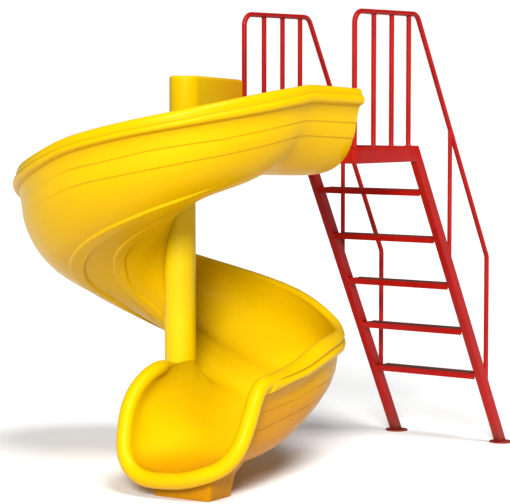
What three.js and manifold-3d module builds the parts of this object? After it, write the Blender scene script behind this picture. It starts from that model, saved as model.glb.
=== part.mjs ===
// Spiral playground slide with a ladder, a small platform and guard rails.
// Millimetres, +Z up. The origin is the centre of the column's foot on the ground.
// +X runs along the ladder treads, +Y from the slide towards the foot of the ladder.
import * as THREE from 'three';
import { mergeVertices } from 'three/addons/utils/BufferGeometryUtils.js';
import Module from 'manifold-3d';

// Heights of the steelwork.
const platformHeight = 1600;      // top edge of the platform's side channels
const channelDepth = 79;          // height of the side channels
const guardRailHeight = 2252;     // centre line of the two top rails
const seat = 0.3;                 // gap between pieces that are fixed to each other

// Plan of the tower.
const railLeft = 92;              // X of the left guard rail, stringer and channel
const railRight = 764;            // X of the right ones
const platformFront = 391;        // Y of the front posts, next to the slide's entry
const balusterOffsets = [160, 313, 462];
const tubeRadius = 12.7;
const channelWidth = 42;

// Ladder: the stringers lean by this much in Y for each millimetre of drop.
const lean = 0.5395;
const stringerTopY = 858;         // back edge of a stringer at platform height
const stringerDepth = 60;         // measured level, along Y
const treadCount = 5;
const treadPitch = 246;
const firstTreadDrop = 256;       // platform height to the underside of the top tread
const treadThickness = 30;
const treadDepth = 112;
const footRadius = 62;
const footThickness = 8;
const handrailTopY = 924;         // where the sloping handrail's line meets the top rail's
const handrailDropY = 1596;       // where the handrail turns down to the stringer
const midPostY = 1235;

// Column.
const columnRadius = 77;
const columnTop = 1499.7;
const basePlateRadius = 150;
const basePlateThickness = 12;

// Slide trough.
const rimRadius = 812;            // outside of the bead under the lip
const shellThickness = 8;
const beadDepth = 88;             // from the top of the lip to the underside of the bead
const troughInner = columnRadius + seat;
const entryLength = 377.4;        // straight entry, from the platform to the first bend
const helixAngle = 355;           // turn of the trough around the column, clockwise from above
const bedEntry = 1455;            // underside of the bed where the helix starts
const bedFall = 3.69;             // fall of the bed for each degree of turn
// Where the bed departs from an even fall.
const bedTurns = [0, 12, 26, 42, 60, 95, 140, 195, 240, 360];
const bedOffsets = [0, -7, 4, 18, 14, 0, -9, -9, 0, 0];
const exitBed = 100;              // underside of the bed over the pedestal
const exitLipRadius = 38;
const innerFlange = 60;           // height of the bed's upturned edge against the column
const innerWallTop = 505;         // level top of the inner wall where the trough leaves the column
const exitWallTop = 562;          // and at the exit's rolled edge
const flightSeams = [0, 67, 134, 201, 268, 334];   // turns at the ends of the five helical lengths

// Height of the rim at angles around the column, and past it along the straight exit.
const rimAngles = [0, 16, 45, 90, 112, 142, 190, 237, 279, 307, 322, 345, 357, 380];
const rimHeights = [1897, 1869, 1796, 1666, 1573, 1470, 1252, 1016, 860, 745, 705, 672, 638, 578];

const red = 0xb3161d;
const yellow = 0xffd400;

const wasm = await Module();
wasm.setup();

const group = new THREE.Group();
group.name = 'spiral_slide_tower';

function steel() {
  return new THREE.MeshStandardMaterial({ color: red, roughness: 0.35, metalness: 0.1 });
}

function glassFibre() {
  return new THREE.MeshStandardMaterial({ color: yellow, roughness: 0.28, metalness: 0 });
}

function columnPaint() {
  return new THREE.MeshStandardMaterial({ color: yellow, roughness: 0.4, metalness: 0.1 });
}

function addPiece(name, geometry, material, parent = group) {
  const mesh = new THREE.Mesh(geometry, material);
  mesh.name = name;
  parent.add(mesh);
  return mesh;
}

// Smooth curve through a table, by piecewise cubic steps that don't overshoot.
function tableValue(xs, ys, x) {
  const n = xs.length;
  if (x <= xs[0]) return ys[0];
  if (x >= xs[n - 1]) return ys[n - 1];
  const slopes = [];
  for (let i = 0; i < n - 1; i++) slopes.push((ys[i + 1] - ys[i]) / (xs[i + 1] - xs[i]));
  const tangents = [slopes[0]];
  for (let i = 1; i < n - 1; i++) {
    const a = slopes[i - 1], b = slopes[i];
    tangents.push(a * b <= 0 ? 0 : (2 * a * b) / (a + b));
  }
  tangents.push(slopes[n - 2]);
  let i = 0;
  while (x > xs[i + 1]) i++;
  const h = xs[i + 1] - xs[i], t = (x - xs[i]) / h;
  return ys[i] * (2 * t ** 3 - 3 * t ** 2 + 1) + tangents[i] * h * (t ** 3 - 2 * t ** 2 + t)
    + ys[i + 1] * (3 * t ** 2 - 2 * t ** 3) + tangents[i + 1] * h * (t ** 3 - t ** 2);
}

// Solid from a row of closed rings with the same number of points: sides and two flat ends.
function loft(rings) {
  const count = rings[0].length;
  const positions = [];
  for (const ring of rings) for (const p of ring) positions.push(p.x, p.y, p.z);
  const index = [];
  for (let s = 0; s < rings.length - 1; s++) {
    for (let i = 0; i < count; i++) {
      const j = (i + 1) % count;
      const a = s * count + i, b = s * count + j, c = a + count, d = b + count;
      index.push(a, b, c, b, d, c);
    }
  }
  for (const [base, ring, flip] of [[0, rings[0], true],
    [(rings.length - 1) * count, rings[rings.length - 1], false]]) {
    const origin = ring[0];
    const normal = new THREE.Vector3();
    for (let i = 1; i < count - 1; i++) {
      normal.add(new THREE.Vector3().subVectors(ring[i], origin)
        .cross(new THREE.Vector3().subVectors(ring[i + 1], origin)));
    }
    normal.normalize();
    const helper = Math.abs(normal.z) < 0.9 ? new THREE.Vector3(0, 0, 1) : new THREE.Vector3(1, 0, 0);
    const u = new THREE.Vector3().crossVectors(helper, normal).normalize();
    const v = new THREE.Vector3().crossVectors(normal, u);
    const flat = ring.map((p) => new THREE.Vector2(p.dot(u), p.dot(v)));
    for (const [a, b, c] of THREE.ShapeUtils.triangulateShape(flat, [])) {
      if (flip) index.push(base + c, base + b, base + a);
      else index.push(base + a, base + b, base + c);
    }
  }
  const geometry = new THREE.BufferGeometry();
  geometry.setAttribute('position', new THREE.Float32BufferAttribute(positions, 3));
  geometry.setIndex(index);
  if (signedVolume(geometry) < 0) {
    for (let i = 0; i < index.length; i += 3) [index[i], index[i + 1]] = [index[i + 1], index[i]];
    geometry.setIndex(index);
  }
  geometry.computeVertexNormals();
  return geometry;
}

function signedVolume(geometry) {
  const p = geometry.getAttribute('position'), index = geometry.getIndex();
  const a = new THREE.Vector3(), b = new THREE.Vector3(), c = new THREE.Vector3();
  let volume = 0;
  for (let i = 0; i < index.count; i += 3) {
    a.fromBufferAttribute(p, index.getX(i));
    b.fromBufferAttribute(p, index.getX(i + 1));
    c.fromBufferAttribute(p, index.getX(i + 2));
    volume += a.dot(b.cross(c)) / 6;
  }
  return volume;
}

function toSolid(geometry) {
  const g = geometry.clone();
  g.deleteAttribute('normal');
  if (g.getAttribute('uv')) g.deleteAttribute('uv');
  const merged = mergeVertices(g, 1e-3);
  return new wasm.Manifold(new wasm.Mesh({
    numProp: 3,
    vertProperties: Float32Array.from(merged.getAttribute('position').array),
    triVerts: Uint32Array.from(merged.getIndex().array),
  }));
}

function fromSolid(solid) {
  const mesh = solid.getMesh();
  const geometry = new THREE.BufferGeometry();
  geometry.setAttribute('position', new THREE.BufferAttribute(Float32Array.from(mesh.vertProperties), 3));
  geometry.setIndex(new THREE.BufferAttribute(Uint32Array.from(mesh.triVerts), 1));
  geometry.computeVertexNormals();
  return geometry;
}

function placed(geometry, x, y, z) {
  geometry.translate(x, y, z);
  return geometry;
}

// Upright cylinder between two heights.
function uprightCylinder(radius, x, y, bottom, top, sides) {
  const geometry = new THREE.CylinderGeometry(radius, radius, top - bottom, sides);
  geometry.rotateX(Math.PI / 2);
  return placed(geometry, x, y, (bottom + top) / 2);
}

// Solid of an outline in the YZ plane, with its thickness along X.
function plateInYZ(points, x0, x1) {
  const shape = new THREE.Shape(points.map(([y, z]) => new THREE.Vector2(y, z)));
  const geometry = new THREE.ExtrudeGeometry(shape, { depth: x1 - x0, bevelEnabled: false });
  geometry.rotateY(Math.PI / 2);
  geometry.rotateX(Math.PI / 2);
  return placed(geometry, x0, 0, 0);
}

function box(x0, x1, y0, y1, z0, z1) {
  return placed(new THREE.BoxGeometry(x1 - x0, y1 - y0, z1 - z0),
    (x0 + x1) / 2, (y0 + y1) / 2, (z0 + z1) / 2);
}

// Back and front edge of a stringer at a height, and the handrail's centre line.
const stringerBack = (z) => stringerTopY + lean * (platformHeight - z);
const stringerFront = (z) => stringerBack(z) + stringerDepth;
const stringerFrontHeight = (y) => platformHeight - (y - stringerTopY - stringerDepth) / lean;
const handrailHeight = (y) => guardRailHeight - (y - handrailTopY) / lean;

// Rounded path through corner points, with a bend of the given radius at each inner corner.
function bentPath(points, radius) {
  const path = new THREE.CurvePath();
  let start = points[0].clone();
  for (let i = 1; i < points.length - 1; i++) {
    const corner = points[i];
    const back = new THREE.Vector3().subVectors(points[i - 1], corner).normalize();
    const ahead = new THREE.Vector3().subVectors(points[i + 1], corner).normalize();
    const trim = radius / Math.tan(back.angleTo(ahead) / 2);
    const a = corner.clone().addScaledVector(back, trim);
    const b = corner.clone().addScaledVector(ahead, trim);
    path.add(new THREE.LineCurve3(start, a));
    path.add(new THREE.QuadraticBezierCurve3(a, corner.clone(), b));
    start = b;
  }
  path.add(new THREE.LineCurve3(start, points[points.length - 1].clone()));
  return path;
}

// Tube of round section whose rings sit at the ends of each straight run and along each bend.
function tubeAlong(points, bendRadius, tube, sides, bendSteps) {
  const path = bentPath(points, bendRadius);
  const centres = [], tangents = [];
  path.curves.forEach((curve, k) => {
    const steps = curve.isLineCurve3 ? 1 : bendSteps;
    for (let s = k === 0 ? 0 : 1; s <= steps; s++) {
      centres.push(curve.getPoint(s / steps));
      tangents.push(curve.getTangent(s / steps));
    }
  });
  const across = new THREE.Vector3(1, 0, 0);
  return loft(centres.map((centre, k) => {
    const up = new THREE.Vector3().crossVectors(across, tangents[k]).normalize();
    const ring = [];
    for (let i = 0; i < sides; i++) {
      const angle = (2 * Math.PI * (i + 0.5)) / sides;
      ring.push(centre.clone().addScaledVector(across, tube * Math.cos(angle))
        .addScaledVector(up, tube * Math.sin(angle)));
    }
    return ring;
  }));
}

// Platform: two side channels, a front and a rear beam and the floor plate between them.
const halfChannel = channelWidth / 2;
const channelFront = platformFront - tubeRadius;
const channelBottom = platformHeight - channelDepth;
const stringerGapY = stringerTopY - seat;
for (const [side, x] of [['left', railLeft], ['right', railRight]]) {
  addPiece(`platform_channel_${side}`,
    plateInYZ([
      [channelFront, channelBottom], [stringerGapY + lean * channelDepth, channelBottom],
      [stringerGapY, platformHeight], [channelFront, platformHeight],
    ], x - halfChannel, x + halfChannel), steel());
}
const innerLeft = railLeft + halfChannel + seat;
const innerRight = railRight - halfChannel - seat;
addPiece('platform_front_beam',
  box(innerLeft, innerRight, channelFront, channelFront + 30, channelBottom, platformHeight), steel());
addPiece('platform_rear_beam',
  box(innerLeft, innerRight, stringerGapY - 30, stringerGapY, channelBottom, platformHeight), steel());
addPiece('platform_floor',
  box(innerLeft, innerRight, channelFront + 30 + seat, stringerGapY - 30 - seat,
    platformHeight - 30, platformHeight - 24), steel());

// Ladder: stringers with feet, and the treads between them.
for (const [side, x] of [['left', railLeft], ['right', railRight]]) {
  addPiece(`stringer_${side}`,
    plateInYZ([
      [stringerBack(footThickness + seat), footThickness + seat],
      [stringerFront(footThickness + seat), footThickness + seat],
      [stringerFront(platformHeight), platformHeight],
      [stringerBack(platformHeight), platformHeight],
    ], x - halfChannel, x + halfChannel), steel());
  addPiece(`foot_plate_${side}`,
    uprightCylinder(footRadius, x, stringerBack(0) + stringerDepth / 2, 0, footThickness, 40), steel());
}
for (let i = 0; i < treadCount; i++) {
  const z0 = platformHeight - firstTreadDrop - i * treadPitch;
  const y0 = stringerBack(z0 + treadThickness / 2);
  addPiece(`tread_${treadCount - i}`,
    box(innerLeft, innerRight, y0, y0 + treadDepth, z0, z0 + treadThickness), steel());
}

// Guard rails: a bent tube on each side, balusters on the channel, and a post under the handrail.
const lowerRailEnd = (y) => stringerFrontHeight(y);
for (const [side, x] of [['left', railLeft], ['right', railRight]]) {
  const dropEnd = lowerRailEnd(handrailDropY);
  const rail = tubeAlong([
    new THREE.Vector3(x, platformFront, platformHeight + seat),
    new THREE.Vector3(x, platformFront, guardRailHeight),
    new THREE.Vector3(x, handrailTopY, guardRailHeight),
    new THREE.Vector3(x, handrailDropY, handrailHeight(handrailDropY)),
    new THREE.Vector3(x, handrailDropY, dropEnd - 60),
  ], 55, tubeRadius, 10, 5);
  const stringerBody = toSolid(plateInYZ([
    [stringerBack(0) + 5, 0], [stringerFront(0) + seat, 0],
    [stringerFront(platformHeight) + seat, platformHeight], [stringerBack(platformHeight) + 5, platformHeight],
  ], x - 60, x + 60));
  const railSolid = toSolid(rail).subtract(stringerBody);
  addPiece(`guard_rail_${side}`, fromSolid(railSolid), steel());
  balusterOffsets.forEach((offset, k) => {
    addPiece(`baluster_${side}_${k + 1}`,
      uprightCylinder(tubeRadius * 0.95, x, platformFront + offset, platformHeight + seat,
        guardRailHeight - tubeRadius - seat, 8), steel());
  });
  const railTool = toSolid(tubeAlong([
    new THREE.Vector3(x, handrailTopY, guardRailHeight),
    new THREE.Vector3(x, handrailDropY, handrailHeight(handrailDropY)),
  ], 1, tubeRadius + seat, 10, 1));
  const post = toSolid(uprightCylinder(tubeRadius * 0.9, x, midPostY, lowerRailEnd(midPostY) - 40,
    handrailHeight(midPostY), 8)).subtract(stringerBody).subtract(railTool);
  addPiece(`handrail_post_${side}`, fromSolid(post), steel());
}

// Column with its foot plate.
addPiece('column_foot_plate', uprightCylinder(basePlateRadius, 0, 0, 0, basePlateThickness, 48), columnPaint());
addPiece('column', uprightCylinder(columnRadius, 0, 0, basePlateThickness, columnTop, 48), columnPaint());

// Section of the trough, from the top of its inner edge, under the bed and up the outer wall.
// Inner edge, [distance from the axis, share of its drop]: around the column, where the trough
// leaves the column, and at the end of the exit.
const wallRows = [
  [troughInner, 0, troughInner, 0, 116, 0.03],
  [88, 0.30, 90, 0.32, 119, 0.25],
  [106, 0.55, 112, 0.56, 128, 0.42],
  [134, 0.76, 150, 0.77, 146, 0.66],
  [172, 0.92, 205, 0.90, 174, 0.85],
  [220, 0.99, 262, 0.975, 262, 0.964],
];
// Bed and outer wall, [distance, share of the depth]: at the platform, where the bend starts,
// around the column, and at the end of the exit.
const sectionRows = [
  [300, 0.992, 300, 0.986, 300, 0.975, 361, 1.000],
  [430, 0.990, 420, 0.966, 420, 0.942, 464, 0.988],
  [530, 0.972, 520, 0.915, 530, 0.895, 560, 0.915],
  [620, 0.915, 600, 0.840, 615, 0.830, 652, 0.820],
  [698, 0.800, 672, 0.715, 682, 0.720, 706, 0.675],
  [752, 0.640, 724, 0.560, 732, 0.575, 728, 0.477],
  [783, 0.450, 756, 0.400, 762, 0.415, 738, 0.330],
  [796, 0.290, 770, 0.250, 774, 0.250, 746, 0.240],
];
// Outline of the bead and lip at the top of the outer wall, as [distance inside rimRadius, drop]:
// on the upper half of the slide the bead stands out furthest, on the lower half the lip does.
const beadRows = [
  [36, 88, 46, 96], [14, 79, 34, 88], [3, 66, 21, 74], [0, 52, 14, 60], [5, 39, 12, 48], [16, 32, 15, 40],
];
const lipRows = [[15, 20, 6, 26], [19, 8, 6, 12], [30, 0, 16, 0], [42, 2, 34, 0], [48, 10, 46, 10]];

function smoothstep(x, a, b) {
  const t = Math.min(1, Math.max(0, (x - a) / (b - a)));
  return t * t * (3 - 2 * t);
}

// State of the trough at a turn in degrees, at a run in millimetres past the helix, or at a
// distance along the entry.
function stationValues(turn, run, entry = 0) {
  const entryFall = 24 * Math.max(0, entry - 60) / (entryLength - 60);
  const rim = tableValue(rimAngles, rimHeights, turn + run / 14) - entryFall;
  const helixBed = bedEntry - bedFall * turn + tableValue(bedTurns, bedOffsets, turn);
  const levelling = Math.min(1, run / 330);
  const bed = exitBed + (helixBed - exitBed) * (run > 0 ? (1 - levelling) ** 2 : 1);
  const wallTop = Math.max(Math.min(bed + innerFlange, columnTop - 10), innerWallTop)
    + (exitWallTop - innerWallTop) * smoothstep(run, -60, 260) * (run > 0 || turn >= helixAngle ? 1 : 0);
  return { rim, bed, wallTop,
    entryEnd: smoothstep(entry, 0, entryLength), helixShare: smoothstep(turn, -10, 40),
    leaving: smoothstep(turn, 285, 350), exitEnd: smoothstep(run + 14.2 * (turn - helixAngle), -220, 340),
    narrowing: 27 * smoothstep(run, 90, 430), lower: smoothstep(turn, 200, 300),
    bead: 1 - smoothstep(run, 225, 300) };
}

const mix = (a, b, share) => a + (b - a) * share;

function sectionOutline(station) {
  const { rim, bed, wallTop, entryEnd, helixShare, leaving, exitEnd, narrowing, lower, bead } = station;
  const depth = rim - bed;
  const reach = rimRadius - narrowing + 22 * entryEnd;
  const outer = wallRows.map(([r0, g0, r1, g1, r2, g2]) => new THREE.Vector2(
    mix(mix(r0, r1, leaving), r2, exitEnd),
    wallTop - (wallTop - bed) * mix(mix(g0, g1, leaving), g2, exitEnd)));
  for (const [r0, g0, r1, g1, r2, g2, r3, g3] of sectionRows) {
    const r = mix(mix(mix(r1, r0, entryEnd), r2, helixShare), r3, exitEnd);
    const g = mix(mix(mix(g1, g0, entryEnd), g2, helixShare), g3, exitEnd);
    outer.push(new THREE.Vector2(r, rim - depth * g));
  }
  const beadFoot = 38 + 10 * lower;
  outer.push(new THREE.Vector2(reach - beadFoot, rim - beadDepth - 8 * lower));
  const normals = outer.map((p, i) => {
    const a = outer[Math.max(0, i - 1)], b = outer[Math.min(outer.length - 1, i + 1)];
    const t = new THREE.Vector2().subVectors(b, a).normalize();
    return new THREE.Vector2(-t.y, t.x);
  });
  const inner = outer.map((p, i) => p.clone().addScaledVector(normals[i], shellThickness));
  const top = [];
  for (const [upperInset, upperDrop, lowerInset, lowerDrop] of beadRows) {
    top.push(new THREE.Vector2(reach - mix(30, mix(upperInset, lowerInset, lower), bead),
      rim - mix(upperDrop, lowerDrop, lower)));
  }
  for (const [upperInset, upperDrop, lowerInset, lowerDrop] of lipRows) {
    top.push(new THREE.Vector2(reach - mix(upperInset, lowerInset, lower),
      rim - mix(upperDrop, lowerDrop, lower)));
  }
  inner[inner.length - 1].x = reach - beadFoot - 9;
  return { outer, normals, ring: [...outer, ...top.slice(1), ...inner.reverse()] };
}

// Place a section: r outwards from the axis, at a turn, or along the straight entry or exit.
const exitTurn = THREE.MathUtils.degToRad(helixAngle);
const exitDirection = new THREE.Vector3(-Math.sin(exitTurn), -Math.cos(exitTurn), 0);
function helixRing(turn) {
  const a = THREE.MathUtils.degToRad(turn);
  return sectionOutline(stationValues(turn, 0)).ring
    .map((p) => new THREE.Vector3(p.x * Math.cos(a), -p.x * Math.sin(a), p.y));
}
function entryRing(y) {
  return sectionOutline(stationValues(0, 0, y)).ring.map((p) => new THREE.Vector3(p.x, y, p.y));
}
function inExit(a, run, z) {
  return new THREE.Vector3(a * Math.cos(exitTurn) + exitDirection.x * run,
    -a * Math.sin(exitTurn) + exitDirection.y * run, z);
}
function exitRing(run) {
  return sectionOutline(stationValues(helixAngle, run)).ring.map((p) => inExit(p.x, run, p.y));
}
// Everything above the trough's underside, with the seat's gap below it.
function exitEnvelopeRing(run) {
  const { outer, normals } = sectionOutline(stationValues(helixAngle, run));
  const points = outer.map((p, i) => p.clone().addScaledVector(normals[i], -seat));
  points.push(new THREE.Vector2(points[points.length - 1].x, 1000), new THREE.Vector2(points[0].x, 1000));
  return points.map((p) => inExit(p.x, run, p.y));
}

function range(from, to, count) {
  return Array.from({ length: count + 1 }, (_, i) => from + ((to - from) * i) / count);
}

const seamAngle = THREE.MathUtils.radToDeg(seat / columnRadius);
addPiece('entry_trough', loft(range(entryLength, seat, 5).map(entryRing)), glassFibre());
for (let k = 0; k < flightSeams.length - 1; k++) {
  const start = flightSeams[k] + (k > 0 ? seamAngle : 0);
  addPiece(`flight_${k + 1}`, loft(range(start, flightSeams[k + 1], 13).map(helixRing)), glassFibre());
}
const lowerEnd = flightSeams[flightSeams.length - 1];

// Exit trough: the end of the helix and the straight run, cut to the sloping front edge.
const lipEdge = [[556, 340], [550, 370], [534, 438], [498, 492], [422, 558], [342, 597], [251, 627],
  [150, 648], [60, 655]];
const exitRings = [...range(lowerEnd + seamAngle, helixAngle, 5).map(helixRing),
  ...range(60, 720, 11).map(exitRing)];
const edgeHeights = lipEdge.map(([z]) => z).reverse();
const edgeRuns = lipEdge.map(([, run]) => run).reverse();
const edgeRun = (z) => tableValue(edgeHeights, edgeRuns, z);
// The cutter is the space in front of the edge, across the whole width.
const cutterOutline = [...range(40, 556, 16).map((z) => [edgeRun(z), z]),
  [edgeRun(556), 700], [900, 700], [900, -50], [edgeRun(40), -50]];
const cutterRings = [-60, rimRadius + 100].map((a) => cutterOutline.map(([run, z]) => inExit(a, run, z)));
const cutter = toSolid(loft(cutterRings));

// Rolled lip, [distance, height, run] of its centre line: down the inner wall's edge, across the
// bed and up the outer wall.
const lipLine = [
  [116, 545, 215], [118, 546, 290], [119, 541, 366], [105, 511, 467], [98, 451, 531], [106, 372, 584],
  [117, 274, 619], [136, 191, 640], [180, 127, 650], [256, 91, 653], [361, 88, 653], [464, 98, 652],
  [565, 126, 650], [662, 180, 642], [722, 251, 628], [751, 342, 595], [757, 422, 559], [743, 498, 492],
  [748, 534, 438], [750, 550, 380], [760, 565, 310], [771, 580, 230],
];
const lipCurve = new THREE.CatmullRomCurve3(lipLine.map(([a, z, run]) => inExit(a, run, z)), false,
  'centripetal');
function lipRoll(steps, sides, extra = 0) {
  const frames = lipCurve.computeFrenetFrames(steps, false);
  return loft(range(0, 1, steps).map((t, k) => {
    const centre = lipCurve.getPointAt(t);
    const swell = Math.min(smoothstep(t, 0, 0.1), smoothstep(1 - t, 0, 0.13));
    const radius = exitLipRadius * (0.3 + 0.7 * swell) + extra;
    const ring = [];
    for (let i = 0; i < sides; i++) {
      const angle = (2 * Math.PI * i) / sides;
      ring.push(centre.clone().addScaledVector(frames.normals[k], radius * Math.cos(angle))
        .addScaledVector(frames.binormals[k], radius * Math.sin(angle)));
    }
    return ring;
  }));
}
const exitShell = toSolid(loft(exitRings)).subtract(cutter);
addPiece('exit_trough', fromSolid(exitShell.add(toSolid(lipRoll(44, 12)))), glassFibre());

// Pedestal: a tapered block that follows the underside of the exit and of its lip.
const pedestalRings = [[0, 258, 568, 400, 590], [100, 240, 588, 385, 592], [175, 226, 603, 374, 593]]
  .map(([z, a0, a1, b0, b1]) => [inExit(a0, b0, z), inExit(a1, b0, z), inExit(a1, b1, z), inExit(a0, b1, z)]);
const overhead = toSolid(loft(range(340, 640, 5).map(exitEnvelopeRing)));
addPiece('exit_pedestal', fromSolid(toSolid(loft(pedestalRings)).subtract(overhead)
  .subtract(toSolid(lipRoll(44, 12, seat)))), glassFibre());

// Inner wall of the entry: round at the column, then thin and straight to the left guard post.
function innerWallOutline() {
  const shape = new THREE.Shape();
  const centreX = 43, radius = 78;
  const wallRight = railLeft + 8, wallLeft = railLeft - 22;
  const points = [];
  for (const angle of range(-8, 172, 18)) {
    const a = THREE.MathUtils.degToRad(-angle);
    points.push([centreX + radius * Math.cos(a), radius * Math.sin(a)]);
  }
  points.push([wallLeft, platformFront - tubeRadius - 2], [wallRight, platformFront - tubeRadius - 2]);
  points.forEach(([x, y], i) => (i ? shape.lineTo(x, y) : shape.moveTo(x, y)));
  return shape;
}
const innerWall = new THREE.ExtrudeGeometry(innerWallOutline(), { depth: 1, bevelEnabled: false });
const wallPoints = innerWall.getAttribute('position');
for (let i = 0; i < wallPoints.count; i++) {
  const top = 1944 - 26 * Math.max(0, wallPoints.getY(i)) / platformFront;
  wallPoints.setZ(i, wallPoints.getZ(i) > 0.5 ? top : columnTop + seat);
}
innerWall.computeVertexNormals();
addPiece('entry_inner_wall', innerWall, glassFibre());

export default group;
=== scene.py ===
# %% [markdown]
# A spiral playground slide, dressed in Blender
#
# The slide is a yellow glass-fibre trough that turns once around a column. Children climb a red
# steel ladder to a small platform with guard rails. The solid model of it is already made, and
# this lesson gives each solid its final surface. The frame comes first: every piece below sits
# in the same metres as the solids, so nothing is fitted by eye.

# %% Load the solids
import math

import bpy
import numpy as np
from mathutils import Matrix, Vector


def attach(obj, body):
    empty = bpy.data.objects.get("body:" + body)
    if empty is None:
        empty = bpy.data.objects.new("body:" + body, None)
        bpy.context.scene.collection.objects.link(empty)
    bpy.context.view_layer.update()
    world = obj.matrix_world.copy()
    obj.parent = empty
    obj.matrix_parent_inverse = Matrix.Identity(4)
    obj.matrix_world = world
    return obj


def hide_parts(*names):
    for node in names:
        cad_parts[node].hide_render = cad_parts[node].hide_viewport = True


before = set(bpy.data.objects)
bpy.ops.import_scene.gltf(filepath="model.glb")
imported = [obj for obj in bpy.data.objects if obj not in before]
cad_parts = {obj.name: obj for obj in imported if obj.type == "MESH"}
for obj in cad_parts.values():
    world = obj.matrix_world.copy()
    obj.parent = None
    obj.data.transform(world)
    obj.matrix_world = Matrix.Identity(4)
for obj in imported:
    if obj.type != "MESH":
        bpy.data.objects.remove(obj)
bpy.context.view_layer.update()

# %% [markdown]
# The camera
#
# The photograph was taken from some way off with a long lens, so upright posts stay upright. The
# place, direction and lens were fitted once, together with the sizes of the steelwork, until its
# corners fell where the photograph shows them. Three directions make up a camera's rotation: its
# right, its up, and the way back.

# %% Camera
IMAGE_WIDTH, FOCAL_PIXELS, SENSOR_WIDTH = 510, 2126.44, 36.0
VIEW_LIMIT = 100.0
CAMERA_PLACE = Vector((6.6814, -7.9439, 1.8266))
AZIMUTH, ELEVATION = math.radians(38.0434), math.radians(4.0882)


def camera_axes(azimuth, elevation):
    forward = Vector((-math.sin(azimuth) * math.cos(elevation),
                      math.cos(azimuth) * math.cos(elevation), -math.sin(elevation)))
    right = Vector((math.cos(azimuth), math.sin(azimuth), 0.0))
    return right, right.cross(forward), -forward


camera_data = bpy.data.cameras.new("camera")
camera_data.sensor_fit = "HORIZONTAL"
camera_data.sensor_width = SENSOR_WIDTH
camera_data.lens = FOCAL_PIXELS * SENSOR_WIDTH / IMAGE_WIDTH
camera_data.clip_end = VIEW_LIMIT
camera = bpy.data.objects.new("camera", camera_data)
rotation = Matrix(camera_axes(AZIMUTH, ELEVATION)).transposed()
camera.matrix_world = Matrix.Translation(CAMERA_PLACE) @ rotation.to_4x4()
bpy.context.scene.collection.objects.link(camera)
bpy.context.scene.camera = camera
print("lens: %.1f mm" % camera_data.lens)

# %% [markdown]
# A helper for shader maths
#
# A material in Blender is a graph of nodes. Drawing that graph by hand is slow, and a long list
# of links is hard to read back. The small class here wraps one output of a node. When it meets
# a plus, a minus or a times sign it adds the Math node for it, so a mask reads like a formula.

# %% Sockets that can be added and multiplied
class Wire:
    def __init__(self, graph, socket):
        self.graph, self.socket = graph, socket

    def math(self, operation, *others, swap=False):
        values = [self, *others]
        if swap:
            values.reverse()
        return self.graph.node("ShaderNodeMath", {"operation": operation}, dict(enumerate(values)))

    def __add__(self, other):
        return self.math("ADD", other)

    def __sub__(self, other):
        return self.math("SUBTRACT", other)

    def __rsub__(self, other):
        return self.math("SUBTRACT", other, swap=True)

    def __mul__(self, other):
        return self.math("MULTIPLY", other)

    __radd__, __rmul__ = __add__, __mul__

    def clamp(self):
        return self.graph.node("ShaderNodeClamp", {}, {"Value": self})

    def between(self, low, high):
        """0 below low, 1 above high, smooth in between."""
        return self.graph.node("ShaderNodeMapRange", {"interpolation_type": "SMOOTHSTEP"},
                               {"Value": self, "From Min": low, "From Max": high})


# %% [markdown]
# One graph at a time
#
# A material and the world around it are both graphs that end in a shader. A graph starts with
# fixed values on that shader's own sockets. The node method adds any other node: its type, its
# settings, then what goes into its sockets.

# %% A graph and its nodes
class Graph:
    def __init__(self, owner, shader, fixed):
        owner.use_nodes = True
        self.tree = owner.node_tree
        self.shader = self.tree.nodes[shader]
        for socket, value in fixed.items():
            self.shader.inputs[socket].default_value = value

    def node(self, kind, settings, sockets, output=0):
        made = self.tree.nodes.new(kind)
        for key, value in settings.items():
            setattr(made, key, value)
        for socket, value in sockets.items():
            if isinstance(value, Wire):
                self.tree.links.new(value.socket, made.inputs[socket])
            else:
                made.inputs[socket].default_value = value
        return Wire(self, made.outputs[output])

    def set(self, socket, wire):
        self.tree.links.new(wire.socket, self.shader.inputs[socket])


# %% [markdown]
# Patterns, masks and layers
#
# A finish is the graph of one material, and few nodes make up all the finishes of the slide.
# Noise gives clouds and specks. An attribute brings a value that was painted on the mesh. The
# normal tells what faces the sky, and the height what the rain splashes. Each one becomes a
# mask, and colours are laid over each other through the masks, from the paint up to the dirt.
# Patterns use object coordinates. The pieces sit at the origin, so their scale is in metres.

# %% A finish and its patterns
SPLASH_HEIGHT = 0.16


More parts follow.
